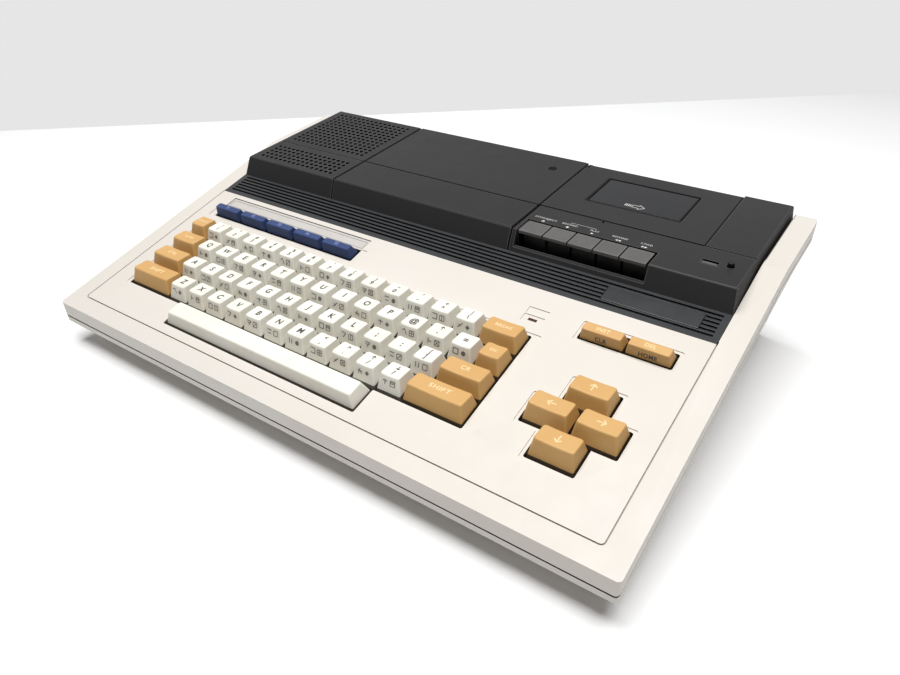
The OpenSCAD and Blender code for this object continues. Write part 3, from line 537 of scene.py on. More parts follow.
def cell(x, width, row):
    """Cell of a key: its left edge and width in pitches, and its row from the back."""
    left = KEYS_X + x * PITCH
    low = KEYS_S + (LAST_ROW - row) * PITCH
    return (left, left + width * PITCH, low, low + PITCH)


def cap_of(name):
    """The caps of a key node, in order."""
    keys = settings().keys
    wide = dict(
        rise=keys.rise,
        insets=WIDE_INSETS,
        dish=keys.dish,
        gap=keys.gap,
        edge=keys.edge,
        tilt=WIDE_TILT,
    )
    if name in WHITE_ROWS:
        row, first, signs = WHITE_ROWS[name]
        return [Cap(cell(first + i, 1, row), **wide) for i in range(len(signs))]
    if name in ORANGE_KEYS:
        row, x, width, _ = ORANGE_KEYS[name]
        return [Cap(cell(x, width, row), **wide)]
    if name in CURSOR_KEYS:
        dx, row, _ = CURSOR_KEYS[name]
        low = KEYS_S + (LAST_ROW - row) * PITCH
        x = CURSOR_X + dx
        return [Cap((x - CURSOR_HALF, x + CURSOR_HALF, low, low + PITCH), **wide)]
    if name == "space_bar":
        space = dict(rise=SPACE_RISE, insets=SPACE_INSETS, dish=0.0, gap=keys.gap, edge=keys.edge)
        return [Cap(cell(*SPACE_CELL), **space)]
    if name in ("key_insert", "key_delete"):
        x0 = CURSOR_X if name == "key_delete" else CURSOR_X - 2 * CURSOR_HALF
        x1, insets = x0 + 2 * CURSOR_HALF, EDIT_INSETS
    else:
        x0 = SLIM_X + (int(name[-1]) - 1) * SLIM_W
        x1, insets = x0 + SLIM_W, FUNCTION_INSETS
    return [Cap((x0, x1, SLIM_S, SLIM_S + SLIM_D), insets=insets, gap=keys.gap, **SLIM)]


def make_keys(name, look, stems=(0.0,)):
    """The caps of one node as one piece, with their square stems."""
    bm = bmesh.new()
    for cap in cap_of(name):
        cap.build(bm)
        mid = (cap.s0 + cap.s1) / 2
        for dx in stems:
            x = cap.xm + dx
            corners = ((1, -1), (1, 1), (-1, 1), (-1, -1))
            square = [(x + a * STEM_HALF, mid + b * STEM_HALF) for a, b in corners]
            slab(bm, square, STEM_FOOT, -cap.skirt - STEM_GAP)
    soften(keep("caps_" + name, bm, finish(look), name, (name,), PANEL))


# ---------------------------------------------------------------------------
# Materials

WEAR_AND_HIGHLIGHT_RADIUS = 1.2  # how far from an edge the wear and the painted highlight show, in mm
DEEP = 9.0  # half height of a mark that goes right through the deck, in mm


def start(name):
    """A new material with an empty node tree, and the part's own coordinates in metres."""
    material = bpy.data.materials.new(name)
    material.use_nodes = True
    tree = material.node_tree
    tree.nodes.clear()
    return material, tree, put(tree, "ShaderNodeTexCoord").outputs["Object"]


def close(material, tree, shader):
    """Links the shader to the output."""
    put(tree, "ShaderNodeOutputMaterial", {}, {"Surface": shader.outputs[0]})
    return material


def drifting(tree, at, tones, scale):
    """Two tones that run into each other in soft patches, scale patches to the metre."""
    patches = put(
        tree,
        "ShaderNodeTexNoise",
        {},
        {"Vector": at, "Scale": scale, "Detail": 4.0, "Roughness": 0.6},
    )
    spread = put(
        tree,
        "ShaderNodeMapRange",
        {},
        {"Value": patches.outputs["Fac"], "From Min": 0.35, "From Max": 0.65},
    )
    return put(
        tree,
        "ShaderNodeMix",
        {"data_type": "RGBA"},
        {0: spread.outputs["Result"], 6: linear(tones[0]), 7: linear(tones[1])},
    ).outputs[2]


def grain(tree, at, size, depth):
    """Bump of a moulded grain: size of its bumps and their height, in mm."""
    noise = put(tree, "ShaderNodeTexNoise", {}, {"Vector": at, "Scale": 1000 / size, "Detail": 2.0})
    return put(
        tree,
        "ShaderNodeBump",
        {},
        {"Height": noise.outputs["Fac"], "Strength": 1.0, "Distance": depth * MM},
    ).outputs["Normal"]


def varying(tree, at, limits, scale):
    """A value that drifts between two limits, scale patches to the metre."""
    noise = put(
        tree,
        "ShaderNodeTexNoise",
        {},
        {"Vector": at, "Scale": scale, "Detail": 5.0, "Roughness": 0.65},
    )
    return put(
        tree,
        "ShaderNodeMapRange",
        {},
        {
            "Value": noise.outputs["Fac"],
            "From Min": 0.3,
            "From Max": 0.7,
            "To Min": limits[0],
            "To Max": limits[1],
        },
    ).outputs["Result"]


def below(tree, at, matrix, height, low, high, half=None):
    """Colour low under a height in mm over a sloping frame, colour high above it.

    half limits it to the middle of the part: so many mm to each side, and from so many mm behind
    the frame's front to so many mm behind it.
    """
    up = matrix.to_3x3() @ Vector((0, 0, 1)) / MM
    level = put(tree, "ShaderNodeVectorMath", {"operation": "DOT_PRODUCT"}, {0: at, 1: up})
    limit = up.dot(matrix.translation) + height * MM
    over = put(
        tree,
        "ShaderNodeMath",
        {"operation": "GREATER_THAN"},
        {0: level.outputs["Value"], 1: limit},
    )
    if half:
        place = put(tree, "ShaderNodeSeparateXYZ", {}, {"Vector": at}).outputs
        aside = put(tree, "ShaderNodeMath", {"operation": "ABSOLUTE"}, {0: place["X"]}).outputs[0]
        front, rear = (matrix.translation.y + h * MM for h in half[1:])
        for operation, value, edge in (
            ("GREATER_THAN", aside, half[0] * MM),
            ("LESS_THAN", place["Y"], front),
            ("GREATER_THAN", place["Y"], rear),
        ):
            rim = put(tree, "ShaderNodeMath", {"operation": operation}, {0: value, 1: edge})
            over = put(
                tree,
                "ShaderNodeMath",
                {"operation": "MAXIMUM"},
                {0: over.outputs[0], 1: rim.outputs[0]},
            )
    return put(
        tree,
        "ShaderNodeMix",
        {"data_type": "RGBA"},
        {0: over.outputs[0], 6: low, 7: high},
    ).outputs[2]


def inside(tree, at, matrix, centre, half):
    """One within a box in a sloping frame's mm, nought outside it."""
    found = 1.0
    for axis in range(3):
        unit = matrix.to_3x3().col[axis] / MM**2
        place = put(tree, "ShaderNodeVectorMath", {"operation": "DOT_PRODUCT"}, {0: at, 1: unit})
        middle = centre[axis] + unit.dot(matrix.translation)
        near = put(
            tree,
            "ShaderNodeMath",
            {"operation": "COMPARE"},
            {0: place.outputs["Value"], 1: middle, 2: half[axis]},
        )
        found = put(
            tree, "ShaderNodeMath", {"operation": "MULTIPLY"}, {0: found, 1: near.outputs[0]}
        ).outputs[0]
    return found


def moulded(
    name,
    tones,
    rough,
    size=0.5,
    depth=0.008,
    patches=9.0,
    rubbed=0.0,
    lift=0.05,
    feet=(),
    crests=(),
    marks=(),
    **sockets,
):
    """A moulded plastic: two tones, a drifting gloss, a fine grain, and edges made brighter, for
    wear and as a painted highlight.

    rough gives the limits of its roughness, size and depth its grain in mm, patches how many
    patches of tone go to the metre. rubbed is how far the edges change and lift how
    much lighter they get, for wear and as a painted highlight. feet and crests give sloping frames,
    heights in mm, and the colours of what lies below or above them; a foot may also give its
    limits. marks are boxes on the deck frame that hold painted shade or a painted highlight:
    centre, half sizes and colour. sockets are further values of the shader.
    """
    material, tree, at = start(name)
    colour = drifting(tree, at, tones, patches)
    for matrix, height, tone, *limits in feet:
        colour = below(tree, at, matrix, height, linear(tone), colour, limits)
    for matrix, height, tone in crests:
        colour = below(tree, at, matrix, height, colour, linear(tone))
    # edges made lighter: wear, and a painted highlight
    if rubbed:
        rounded = put(
            tree, "ShaderNodeBevel", {"samples": 4}, {"Radius": WEAR_AND_HIGHLIGHT_RADIUS * MM}
        ).outputs["Normal"]
        sharp = put(tree, "ShaderNodeNewGeometry").outputs["Normal"]
        along = put(
            tree, "ShaderNodeVectorMath", {"operation": "DOT_PRODUCT"}, {0: rounded, 1: sharp}
        )
        edge = put(
            tree,
            "ShaderNodeMapRange",
            {},
            {
                "Value": along.outputs["Value"],
                "From Min": 0.995,
                "From Max": 0.86,
                "To Max": rubbed,
            },
        )
        lighter = put(tree, "ShaderNodeBrightContrast", {}, {"Color": colour, "Bright": lift})
        colour = put(
            tree,
            "ShaderNodeMix",
            {"data_type": "RGBA"},
            {0: edge.outputs["Result"], 6: colour, 7: lighter.outputs[0]},
        ).outputs[2]
    # marks: boxes of painted shade or of a painted highlight
    for centre, half, tone in marks:
        mask = inside(tree, at, DECK, centre, half)
        colour = put(
            tree, "ShaderNodeMix", {"data_type": "RGBA"}, {0: mask, 6: colour, 7: linear(tone)}
        ).outputs[2]
    shader = put(
        tree,
        "ShaderNodeBsdfPrincipled",
        {},
        {
            "Base Color": colour,
            "Roughness": varying(tree, at, rough, 60.0),
            "Normal": grain(tree, at, size, depth),
            **sockets,
        },
    )
    return close(material, tree, shader)


def ink(name, tones):
    """A silk-screened ink: matt, thin, its tone broken up by the grain below."""
    return moulded(name, tones, (0.4, 0.6), 0.3, 0.006, 400.0)


def metal(name, tones, rough, lay, anisotropic=0.0):
    """Metal with fine marks stretched along its lay."""
    material, tree, at = start(name)
    stretched = put(tree, "ShaderNodeMapping", {}, {"Vector": at, "Scale": lay}).outputs["Vector"]
    lines = put(
        tree, "ShaderNodeTexNoise", {}, {"Vector": stretched, "Scale": 260.0, "Detail": 6.0}
    )
    bump = put(
        tree,
        "ShaderNodeBump",
        {},
        {"Height": lines.outputs["Fac"], "Strength": 0.6, "Distance": 0.01 * MM},
    )
    shader = put(
        tree,
        "ShaderNodeBsdfPrincipled",
        {},
        {
            "Base Color": drifting(tree, at, tones, 40.0),
            "Metallic": 1.0,
            "Roughness": varying(tree, stretched, rough, 90.0),
            "Anisotropic": anisotropic,
            "Normal": bump.outputs["Normal"],
        },
    )
    return close(material, tree, shader)


def smoked(name, tint, rough, shine=0.5, clear=None):
    """Dark clear plastic: deep, glossy, with faint hairline scratches.

    clear gives the middle of it, as centre and half sizes on the deck frame; painted shade, dark
    and without gloss, lies round that.
    """
    material, tree, at = start(name)
    scratched = put(tree, "ShaderNodeMapping", {}, {"Vector": at, "Scale": (1.0, 14.0, 1.0)})
    lines = put(
        tree,
        "ShaderNodeTexNoise",
        {},
        {"Vector": scratched.outputs["Vector"], "Scale": 160.0, "Detail": 8.0},
    )
    bump = put(
        tree,
        "ShaderNodeBump",
        {},
        {"Height": lines.outputs["Fac"], "Strength": 0.15, "Distance": 0.01 * MM},
    )
    colour = drifting(tree, at, tint, 12.0)
    gloss = shine
    # round the middle: painted shade, dark and without gloss
    if clear:
        x, y, half_x, half_y = clear
        mask = inside(tree, at, DECK, (x, y, 0.0), (half_x, half_y, DEEP))
        colour = put(
            tree, "ShaderNodeMix", {"data_type": "RGBA"}, {0: mask, 6: linear("#0a0a0a"), 7: colour}
        ).outputs[2]
        gloss = put(
            tree, "ShaderNodeMath", {"operation": "MULTIPLY"}, {0: mask, 1: shine}
        ).outputs[0]
    shader = put(
        tree,
        "ShaderNodeBsdfPrincipled",
        {},
        {
            "Base Color": colour,
            "Roughness": varying(tree, at, rough, 50.0),
            "IOR": 1.49,
            "Specular IOR Level": gloss,
            "Transmission Weight": 0.25,
            "Normal": bump.outputs["Normal"],
        },
    )
    return close(material, tree, shader)


def lacquered(name):
    """A printed board: dark green lacquer over copper tracks that stand a little proud."""
    material, tree, at = start(name)
    tracks = put(
        tree,
        "ShaderNodeTexBrick",
        {"offset": 0.5, "squash": 1.0},
        {
            "Vector": at,
            "Color1": linear("#1f5a3a"),
            "Color2": linear("#256644"),
            "Mortar": linear("#3d8a5a"),
            "Scale": 60.0,
            "Mortar Size": 0.012,
            "Brick Width": 0.9,
            "Row Height": 0.12,
        },
    )
    bump = put(
        tree,
        "ShaderNodeBump",
        {},
        {"Height": tracks.outputs["Fac"], "Strength": 0.5, "Distance": 0.03 * MM},
    )
    shader = put(
        tree,
        "ShaderNodeBsdfPrincipled",
        {},
        {
            "Base Color": tracks.outputs["Color"],
            "Roughness": varying(tree, at, (0.18, 0.32), 80.0),
            "Coat Weight": 0.4,
            "Coat Roughness": 0.12,
            "Normal": bump.outputs["Normal"],
        },
    )
    return close(material, tree, shader)


# the window's centre and half sizes on the deck frame, and the middle of it that has no painted
# shade, in mm
WINDOW = (112.2, 77.9, 33.9, 18.9)
WINDOW_UNSHADED = (WINDOW[0], WINDOW[1], WINDOW[2] - 0.9, WINDOW[3] - 0.9)
WINDOW_RIM = ((WINDOW[0], WINDOW[1] - 0.3, 0.0), (WINDOW[2] + 0.8, WINDOW[3] + 1.1, DEEP))
# painted shade along the line across the modules, down the door's side, round its window and in
# the finger mark, and a painted highlight on the front edge beside the buttons: centre and half
# sizes in mm, colour
DECK_SHADE_AND_HIGHLIGHT = (
    ((-155.0, 36.7, 0.0), (46.5, 0.45, DEEP), "#1c1c1c"),
    ((31.8, 36.8, 0.0), (138.8, 0.85, DEEP), "#131313"),
    ((187.0, 36.7, 0.0), (15.8, 0.45, DEEP), "#1c1c1c"),
    ((170.7, 75.0, 0.0), (0.55, 38.5, DEEP), "#151515"),
    (*WINDOW_RIM, "#131313"),
    ((102.9, 34.7, 0.0), (0.9, 1.2, DEEP), "#101010"),
    ((175.4, 0.15, 0.0), (26.6, 0.4, 0.45), "#626260"),
)
# the middle of a part, in mm: half its width, and from where to where behind its frame's front
PANEL_MIDDLE = (206.0, 8.0, 400.0)
DECK_MIDDLE = (202.3, 0.9, 112.5)
BUTTON_MIDDLE = (400.0, 0.3, 400.0)
# heights of the ledge in the open seam, on the panel's and the deck's frame, in mm
LEDGE_PANEL, LEDGE_DECK = -10.92, -17.0

RECIPES = {
    # moulded ABS, cream: satin, slightly yellowed in broad patches, with a spark-eroded skin,
    # edges lighter for wear and as a painted highlight, and painted shade in the groove and down
    # the sides of the wells
    "cream": lambda: moulded(
        "moulded_abs_cream",
        (settings().case.cream, "#c2bcb3"),
        (0.42, 0.54),
        rubbed=0.5,
        feet=(
            (PANEL, -0.8, "#968d81", *PANEL_MIDDLE),
            (PANEL, -1.1, "#4a4239", *PANEL_MIDDLE),
        ),
    ),
    # the lower shell: the same cream and edges, and painted shade on the ledge that the open seam
    # leaves on its rim
    "cream_low": lambda: moulded(
        "moulded_abs_cream_low",
        (settings().case.cream, "#c2bcb3"),
        (0.42, 0.54),
        rubbed=0.5,
        crests=((PANEL, LEDGE_PANEL, "#24221e"), (DECK, LEDGE_DECK, "#24221e")),
    ),
    # grained polystyrene, black: greys under light because its fine grain scatters it, with painted
    # shade down its sides and fronts, near black painted shade inside the gaps and vents, edges
    # lighter for wear and as a painted highlight, and the deck marks' painted shade and highlight
    "black": lambda: moulded(
        "grained_polystyrene_black",
        (settings().case.black, "#2e2d2d"),
        (0.4, 0.5),
        0.6,
        0.012,
        rubbed=0.6,
        lift=0.1,
        feet=((DECK, -1.0, "#2a2a2a"), (DECK, -0.14, "#080808", *DECK_MIDDLE)),
        marks=DECK_SHADE_AND_HIGHLIGHT,
        **{"Specular IOR Level": 0.05},
    ),
    # anodised foil on the bare plate: near black, smoother than the ribs round it
    "plate": lambda: moulded(
        "satin_foil_dark", ("#1d1e20", "#232427"), (0.24, 0.32), 0.4, 0.003, **{"Metallic": 0.2}
    ),
    # smoked acrylic of the cassette window: near black and calm, with painted shade along its rim
    "window": lambda: smoked(
        "smoked_acrylic", ("#111216", "#15171d"), (0.1, 0.18), 0.2, WINDOW_UNSHADED
    ),
    # key caps, ABS: matt, fine grain, a little warmer in patches where hands have been, and a
    # dark line of painted shade at the foot, where each cap dips into its well
    "key_white": lambda: moulded(
        "moulded_abs_ivory",
        (settings().keys.white, "#d6d2c5"),
        (0.46, 0.6),
        0.4,
        0.01,
        30.0,
        feet=((PANEL, -0.55, "#55504a"),),
    ),
    "key_orange": lambda: moulded(
        "moulded_abs_ochre",
        (settings().keys.orange, "#b98f54"),
        (0.46, 0.6),
        0.4,
        0.01,
        30.0,
        feet=((PANEL, -0.45, "#3a2f22"),),
    ),
    "key_blue": lambda: moulded(
        "moulded_abs_blue",
        (settings().keys.blue, "#2d3d64"),
        (0.42, 0.55),
        0.4,
        0.01,
        30.0,
        feet=((PANEL, -0.45, "#141722"),),
        **{"Specular IOR Level": 0.2},
    ),
    # transport buttons, moulded in two colours: taupe tops, dull from wear, on black bodies; their
    # edges made lighter, for wear and as a painted highlight
    "button": lambda: moulded(
        "two_shot_abs_taupe",
        ("#4c4a49", "#474544"),
        (0.4, 0.52),
        0.4,
        0.01,
        60.0,
        0.6,
        feet=((DECK, -2.25, "#0e0f0e"), (DECK, -0.5, "#0e0f0e", *BUTTON_MIDDLE)),
    ),
    # the counter's button: a darker, harder plastic than the case round it
    "button_dark": lambda: moulded(
        "moulded_abs_black",
        ("#101012", "#141416"),
        (0.3, 0.4),
        0.5,
        0.004,
        **{"Specular IOR Level": 0.2},
    ),
    # the strip: polished ribs, and grooves coloured near black from just below the ribs' tops
    "ribs": lambda: moulded(
        "polished_polystyrene_black",
        ("#2c2d2f", "#28292b"),
        (0.3, 0.4),
        0.8,
        0.004,
        feet=((PANEL, -0.35, "#08080a"),),
        **{"Specular IOR Level": 0.25},
    ),
    # sockets and rocker: black nylon, slightly waxy
    "nylon": lambda: moulded(
        "moulded_nylon_black", ("#202022", "#29292b"), (0.36, 0.5), 0.7, 0.01
    ),
    # reels: natural acetal, milky, because light goes a little way into it
    "acetal": lambda: moulded(
        "acetal_white",
        ("#e9e6dd", "#dedacd"),
        (0.3, 0.42),
        0.8,
        0.004,
        **{"Subsurface Weight": 0.1},
    ),
    # neoprene: dead matt, pitted
    "rubber": lambda: moulded(
        "neoprene_black", ("#1b1b1c", "#252526"), (0.75, 0.92), 0.7, 0.03, 50.0
    ),
    # matt card of the key label: no shine, faint fibres
    "card": lambda: moulded(
        "matt_card_ivory", ("#b3afab", "#aeaaa4"), (0.7, 0.85), 0.25, 0.01, 120.0
    ),
    # lamp lens: clear deep red, dark while it is off
    "lamp": lambda: smoked("clear_polycarbonate_red", ("#3b0d09", "#4a120c"), (0.08, 0.15)),
    # silk-screened inks: thin, slightly broken up by the grain below
    "ink_black": lambda: ink("screen_ink_black", ("#2b2926", "#38352f")),
    "ink_grey": lambda: ink("screen_ink_grey", ("#5f5a52", "#6e685e")),
    "ink_sand": lambda: ink("screen_ink_pale_sand", ("#dcc193", "#d2b688")),
    "ink_mid": lambda: ink("screen_ink_mid_grey", ("#9c9b99", "#8f8e8c")),
    "ink_light": lambda: ink("screen_ink_light_grey", ("#c9c8c5", "#b4b3b0")),
    "ink_blue": lambda: ink("screen_ink_pale_blue", ("#6f7cab", "#66729f")),
    # the counter's drum: white nylon, dimmed by the shade of its window
    "drum": lambda: moulded(
        "moulded_nylon_white",
        ("#5b5a59", "#535251"),
        (0.5, 0.6),
        0.6,
        0.004,
        200.0,
        **{"Specular IOR Level": 0.1},
    ),
    # zinc-plated sheet: dull grey, with faint rolling marks
    "zinc": lambda: metal(
        "zinc_plated_sheet", ("#a9abab", "#97999b"), (0.3, 0.48), (1.0, 12.0, 1.0)
    ),
    # turned steel: bright, with streaked highlights from the tool's fine marks
    "steel": lambda: metal(
        "turned_steel", ("#b9b9b7", "#a7a8a8"), (0.2, 0.34), (20.0, 1.0, 1.0), 0.4
    ),
    # turned brass: yellow, brighter than the steel, with the same streaks
    "brass": lambda: metal(
        "turned_brass", ("#c79d4b", "#b48a3c"), (0.18, 0.3), (1.0, 1.0, 20.0), 0.3
    ),
    # enamelled can of the motor, speaker and supply: even grey, a little orange peel
    "can": lambda: moulded(
        "enamelled_can_grey", ("#8e9090", "#838586"), (0.3, 0.42), 1.2, 0.006, **{"Metallic": 0.5}
    ),
    # printed board: glossy green lacquer, lighter over the copper
    "board": lambda: lacquered("lacquered_board_green"),
    # table top: matt white laminate with the faintest mottling
    "table": lambda: moulded(
        "matt_white_laminate", (settings().stage.floor, "#f1f1f1"), (0.5, 0.62), 2.0, 0.01, 3.0
    ),
}
finished = {}


def settings():
    """The three groups of settings."""
    return bpy.context.scene.home_computer


def finish(key):
    """The material of a recipe, made once."""
    if key not in finished:
        finished[key] = RECIPES[key]()
    return finished[key]


# ---------------------------------------------------------------------------
# Operators


class COMPUTER_OT_case(bpy.types.Operator):
    """Cream shells, feet and case screws"""

    bl_idname = "computer.case"
    bl_label = "Case"

    def execute(self, context):
        dress("top_case", finish("cream"), settings().case.edge_radius / MM, angle=28)
        dress("bottom_case", finish("cream_low"), 0.5, segments=2, angle=28)
        dress("feet", finish("rubber"), 0.8)
        dress("case_screws", finish("zinc"), 0.2, segments=2)
        return {"FINISHED"}


# the border printed on the key label: left, right, near and far side on the panel frame, the
# label's depth below it and the width of the line, in mm
LABEL_BORDER = (-185.4, -44.6, 140.6, 147.4)
LABEL_DEPTH, LABEL_LINE = -0.66, 0.35


class COMPUTER_OT_strip(bpy.types.Operator):
    """Ribbed strip, bare plate, key label and power lamp"""

    bl_idname = "computer.strip"
    bl_label = "Strip and small parts"

    def execute(self, context):
        dress("ribbed_strip", finish("ribs"), 0.25, segments=2)
        dress("name_plate", finish("plate"), 0.3, segments=2)
        dress("label_card", finish("card"), 0.1, segments=2)
        dress("lamp_lens", finish("lamp"), 0.15, segments=2)
        bm = bmesh.new()
        x0, x1, s0, s1 = LABEL_BORDER
        for side in ((x0, s0, x1, s0), (x1, s0, x1, s1), (x1, s1, x0, s1), (x0, s1, x0, s0)):
            print_shape(bm, stroke(*side, LABEL_LINE), flat(0.0, 0.0, LABEL_DEPTH))
        keep("label_border", bm, finish("ink_grey"), "case", (), PANEL)
        return {"FINISHED"}


class COMPUTER_OT_modules(bpy.types.Operator):
    """Grille cover, bay cover and recorder case"""

    bl_idname = "computer.modules"
    bl_label = "Modules"

    def execute(self, context):
        for name in ("grille_cover", "bay_cover", "recorder_case"):
            dress(name, finish("black"), 0.4)
        return {"FINISHED"}


# the mark on the cassette window: its middle on the deck frame, the widths of its lines, four bars
# and an outlined arrow, in mm
MARK = (112.6, 65.2, -0.26)
BAR_LINE, ARROW_LINE = 0.6, 0.45
MARK_BARS = [(-7.5 + i * 1.2, -1.5, -7.5 + i * 1.2, 1.5) for i in range(4)]
MARK_ARROW = [
    (-2.6, -1.5),
    (2.2, -1.5),
    (2.2, -3.0),
    (6.4, 0.0),
    (2.2, 3.0),
    (2.2, 1.5),
    (-2.6, 1.5),
]


class COMPUTER_OT_door(bpy.types.Operator):
    """Cassette door, its smoked window and the mark printed on it"""

    bl_idname = "computer.door"
    bl_label = "Cassette door"

    def execute(self, context):
        dress("cassette_door", finish("black"), 0.35)
        dress("cassette_window", finish("window"), 0.15, segments=2)
        bm = bmesh.new()
        for bar in MARK_BARS:
            print_shape(bm, stroke(*bar, BAR_LINE), flat(*MARK))
        for start_at, end_at in zip(MARK_ARROW, MARK_ARROW[1:] + MARK_ARROW[:1]):
            print_shape(bm, stroke(*start_at, *end_at, ARROW_LINE), flat(*MARK))
        keep("window_mark", bm, finish("ink_light"), "door", (), DECK)
        return {"FINISHED"}


# outlines of the bar below the stop sign and of double arrowheads, in mm
STOP_BAR = stroke(-1.2, -0.8, 1.2, -0.8, 0.4)
LEFTWARD = [[(dx + 0.95, 1.0), (dx - 0.95, 0), (dx + 0.95, -1.0)] for dx in (-1.0, 1.0)]
RIGHTWARD = [[(dx - 0.95, -1.0), (dx + 0.95, 0), (dx - 0.95, 1.0)] for dx in (-1.0, 1.0)]
# a transport button: its word, how wide that is drawn, and the outlines of its sign
TRANSPORT = {
    "stop": ("STOP/EJECT", 1.14, [[(-1.2, -0.2), (1.2, -0.2), (0, 1.1)], STOP_BAR]),
    "record": ("RECORD", 1.05, [disc(0, 0, 1.0)]),
    "play": ("PLAY", 1.0, [[(-1.0, -1.0), (1.1, 0), (-1.0, 1.0)]]),
    "rewind": ("REWIND", 1.02, LEFTWARD),
    "forward": ("F.FWD", 0.98, RIGHTWARD),
}
# places on the deck frame in mm: the row of buttons, its words and signs, and the bracket that
# joins record and play
BUTTONS_X, BUTTON_STEP = 58.5, 18
WORDS_V, WORDS_SIZE, SIGNS_V, PRINT_W = 21.0, 1.75, 17.4, 0.03
BRACKET = ((85.5, 22.7, 85.5, 23.8), (85.5, 23.8, 103.4, 23.8), (103.4, 23.8, 103.4, 22.7))
BRACKET_LINE = 0.4
# the counter's drum and the bed below it: left, right, near and far side, corner radius and how
# finely that is drawn, then their undersides and tops
DRUM, DRUM_W = (175.3, 184.6, 18.6, 20.4, 0.4, 3), (-2.4, -0.5)
BED, BED_W = (173.6, 186.6, 15.6, 23.2, 0.8, 3), (-3.7, -2.7)


class COMPUTER_OT_transport(bpy.types.Operator):
    """Transport buttons, their words and signs, and the tape counter"""

    bl_idname = "computer.transport"
    bl_label = "Transport buttons"

    def execute(self, context):
        for name in TRANSPORT:
            dress("button_" + name, finish("button"), 0.3)
        dress("button_counter", finish("button_dark"), 0.3)
        signs, words = bmesh.new(), bmesh.new()
        for i, (text, width, shapes) in enumerate(TRANSPORT.values()):
            x = BUTTONS_X + (i + 0.5) * BUTTON_STEP
            print_word(words, text, flat(x, WORDS_V, PRINT_W), WORDS_SIZE, width)
            for shape in shapes:
                print_shape(signs, shape, flat(x, SIGNS_V, PRINT_W))
        for line in BRACKET:
            print_shape(words, stroke(*line, BRACKET_LINE), flat(0.0, 0.0, PRINT_W))
        keep("transport_signs", signs, finish("ink_light"), "case", (), DECK)
        keep("transport_words", words, finish("ink_mid"), "case", (), DECK)
        # the counter: a white drum across the front half of its window, over a black bed
        for name, outline, span, look in (
            ("counter_drum", DRUM, DRUM_W, "drum"),
            ("counter_bed", BED, BED_W, "nylon"),
        ):
            bm = bmesh.new()
            slab(bm, rounded_outline(*outline), *span)
            soften(keep(name, bm, finish(look), "case", (), DECK))
        return {"FINISHED"}


class COMPUTER_OT_white_keys(bpy.types.Operator):
    """Four rows of white keys and the space bar"""

    bl_idname = "computer.white_keys"
    bl_label = "White keys"

    def execute(self, context):
        for name in WHITE_ROWS:
            make_keys(name, "key_white")
        make_keys("space_bar", "key_white", SPACE_STEMS)
        return {"FINISHED"}


class COMPUTER_OT_orange_keys(bpy.types.Operator):
    """Command keys, cursor keys, insert and delete"""

    bl_idname = "computer.orange_keys"
    bl_label = "Orange keys"

    def execute(self, context):
        for name in list(ORANGE_KEYS) + list(CURSOR_KEYS) + ["key_insert", "key_delete"]:
            make_keys(name, "key_orange")
        return {"FINISHED"}


class COMPUTER_OT_function_keys(bpy.types.Operator):
    """Five blue function keys"""

    bl_idname = "computer.function_keys"
    bl_label = "Function keys"

    def execute(self, context):
        for i in range(1, 6):
            make_keys(f"key_f{i}", "key_blue")
        return {"FINISHED"}


# small signs on the front faces, each a list of strokes in a unit square: the left one, and the
# right one in its box
SIGNS = [
    [(0, 1, 1, 1), (1, 1, 1, 0), (0, 0, 1, 0)],
    [(0, 0.9, 1, 0.9), (0.1, 0.2, 0.9, 0.2)],
    [(0, 1, 0.9, 0.9), (0.9, 0.9, 0.3, 0)],
    [(0.2, 0, 0.2, 1), (0.2, 0.6, 0.9, 0.4)],
    [(0, 0.7, 1, 0.7), (0.5, 1, 0.5, 0)],
    [(0, 0, 1, 1), (0.2, 0.7, 0.6, 0.3)],
    [(0.15, 1, 0.15, 0), (0.8, 1, 0.7, 0)],
    [(0, 0.9, 1, 0.9), (1, 0.9, 0.4, 0), (0.1, 0.5, 0.7, 0.5)],
    [(0, 1, 0, 0), (0, 0, 1, 0), (1, 0, 1, 1), (1, 1, 0, 1)],
    [(0, 0.6, 0.5, 1), (0.5, 1, 1, 0)],
    [(0, 0.5, 1, 0.5), (0.5, 1, 0.2, 0), (0.5, 0.5, 1, 0)],
]
BOXES = [
    [(0, 0.5, 1, 0.5)],
    [(0.5, 0, 0.5, 1)],
    [(0, 0, 1, 1)],
    [(0, 1, 1, 0)],
    [(0, 0, 1, 1), (0, 1, 1, 0)],
    [(0, 0.75, 1, 0.75), (0, 0.5, 1, 0.5)],
    [(0.25, 0, 0.25, 1), (0.5, 0, 0.5, 1)],
    [],
    [(0, 0.5, 1, 0.5), (0.5, 0, 0.5, 1)],
]
BOX = [(0, 0, 1, 0), (1, 0, 1, 1), (1, 1, 0, 1), (0, 1, 0, 0)]
# where the signs lie: how far up the face, their left sides and lower side from its middle, their
# size and the widths of their strokes, and on every third key a spot in place of the box, in mm
FRONT_UP, SIGN_X, BOX_X, SIGN_Y, SIGN_SIZE = 0.68, -4.5, 0.9, -1.6, 3.4
SIGN_LINE, BOX_LINE = 0.6, 0.5
SPOT = (2.6, 0, 1.6)
ARROW = ((-0.5, 0, 0.42, 0), (0.5, 0, 0.1, 0.4), (0.5, 0, 0.1, -0.4))
UPRIGHT = {"up": 90, "down": 270}
UPPER_ARROW, CURSOR_ARROW = (3.2, 0.6), (5.2, 0.9)  # length and width of the line, in mm
# the letters' height in mm and their width to the font's own: a sign alone on a key, one with
# another above it, and that other one
ALONE, LOWER, UPPER = (4.5, 0.92), (3.5, 0.92), (3.2, 0.86)
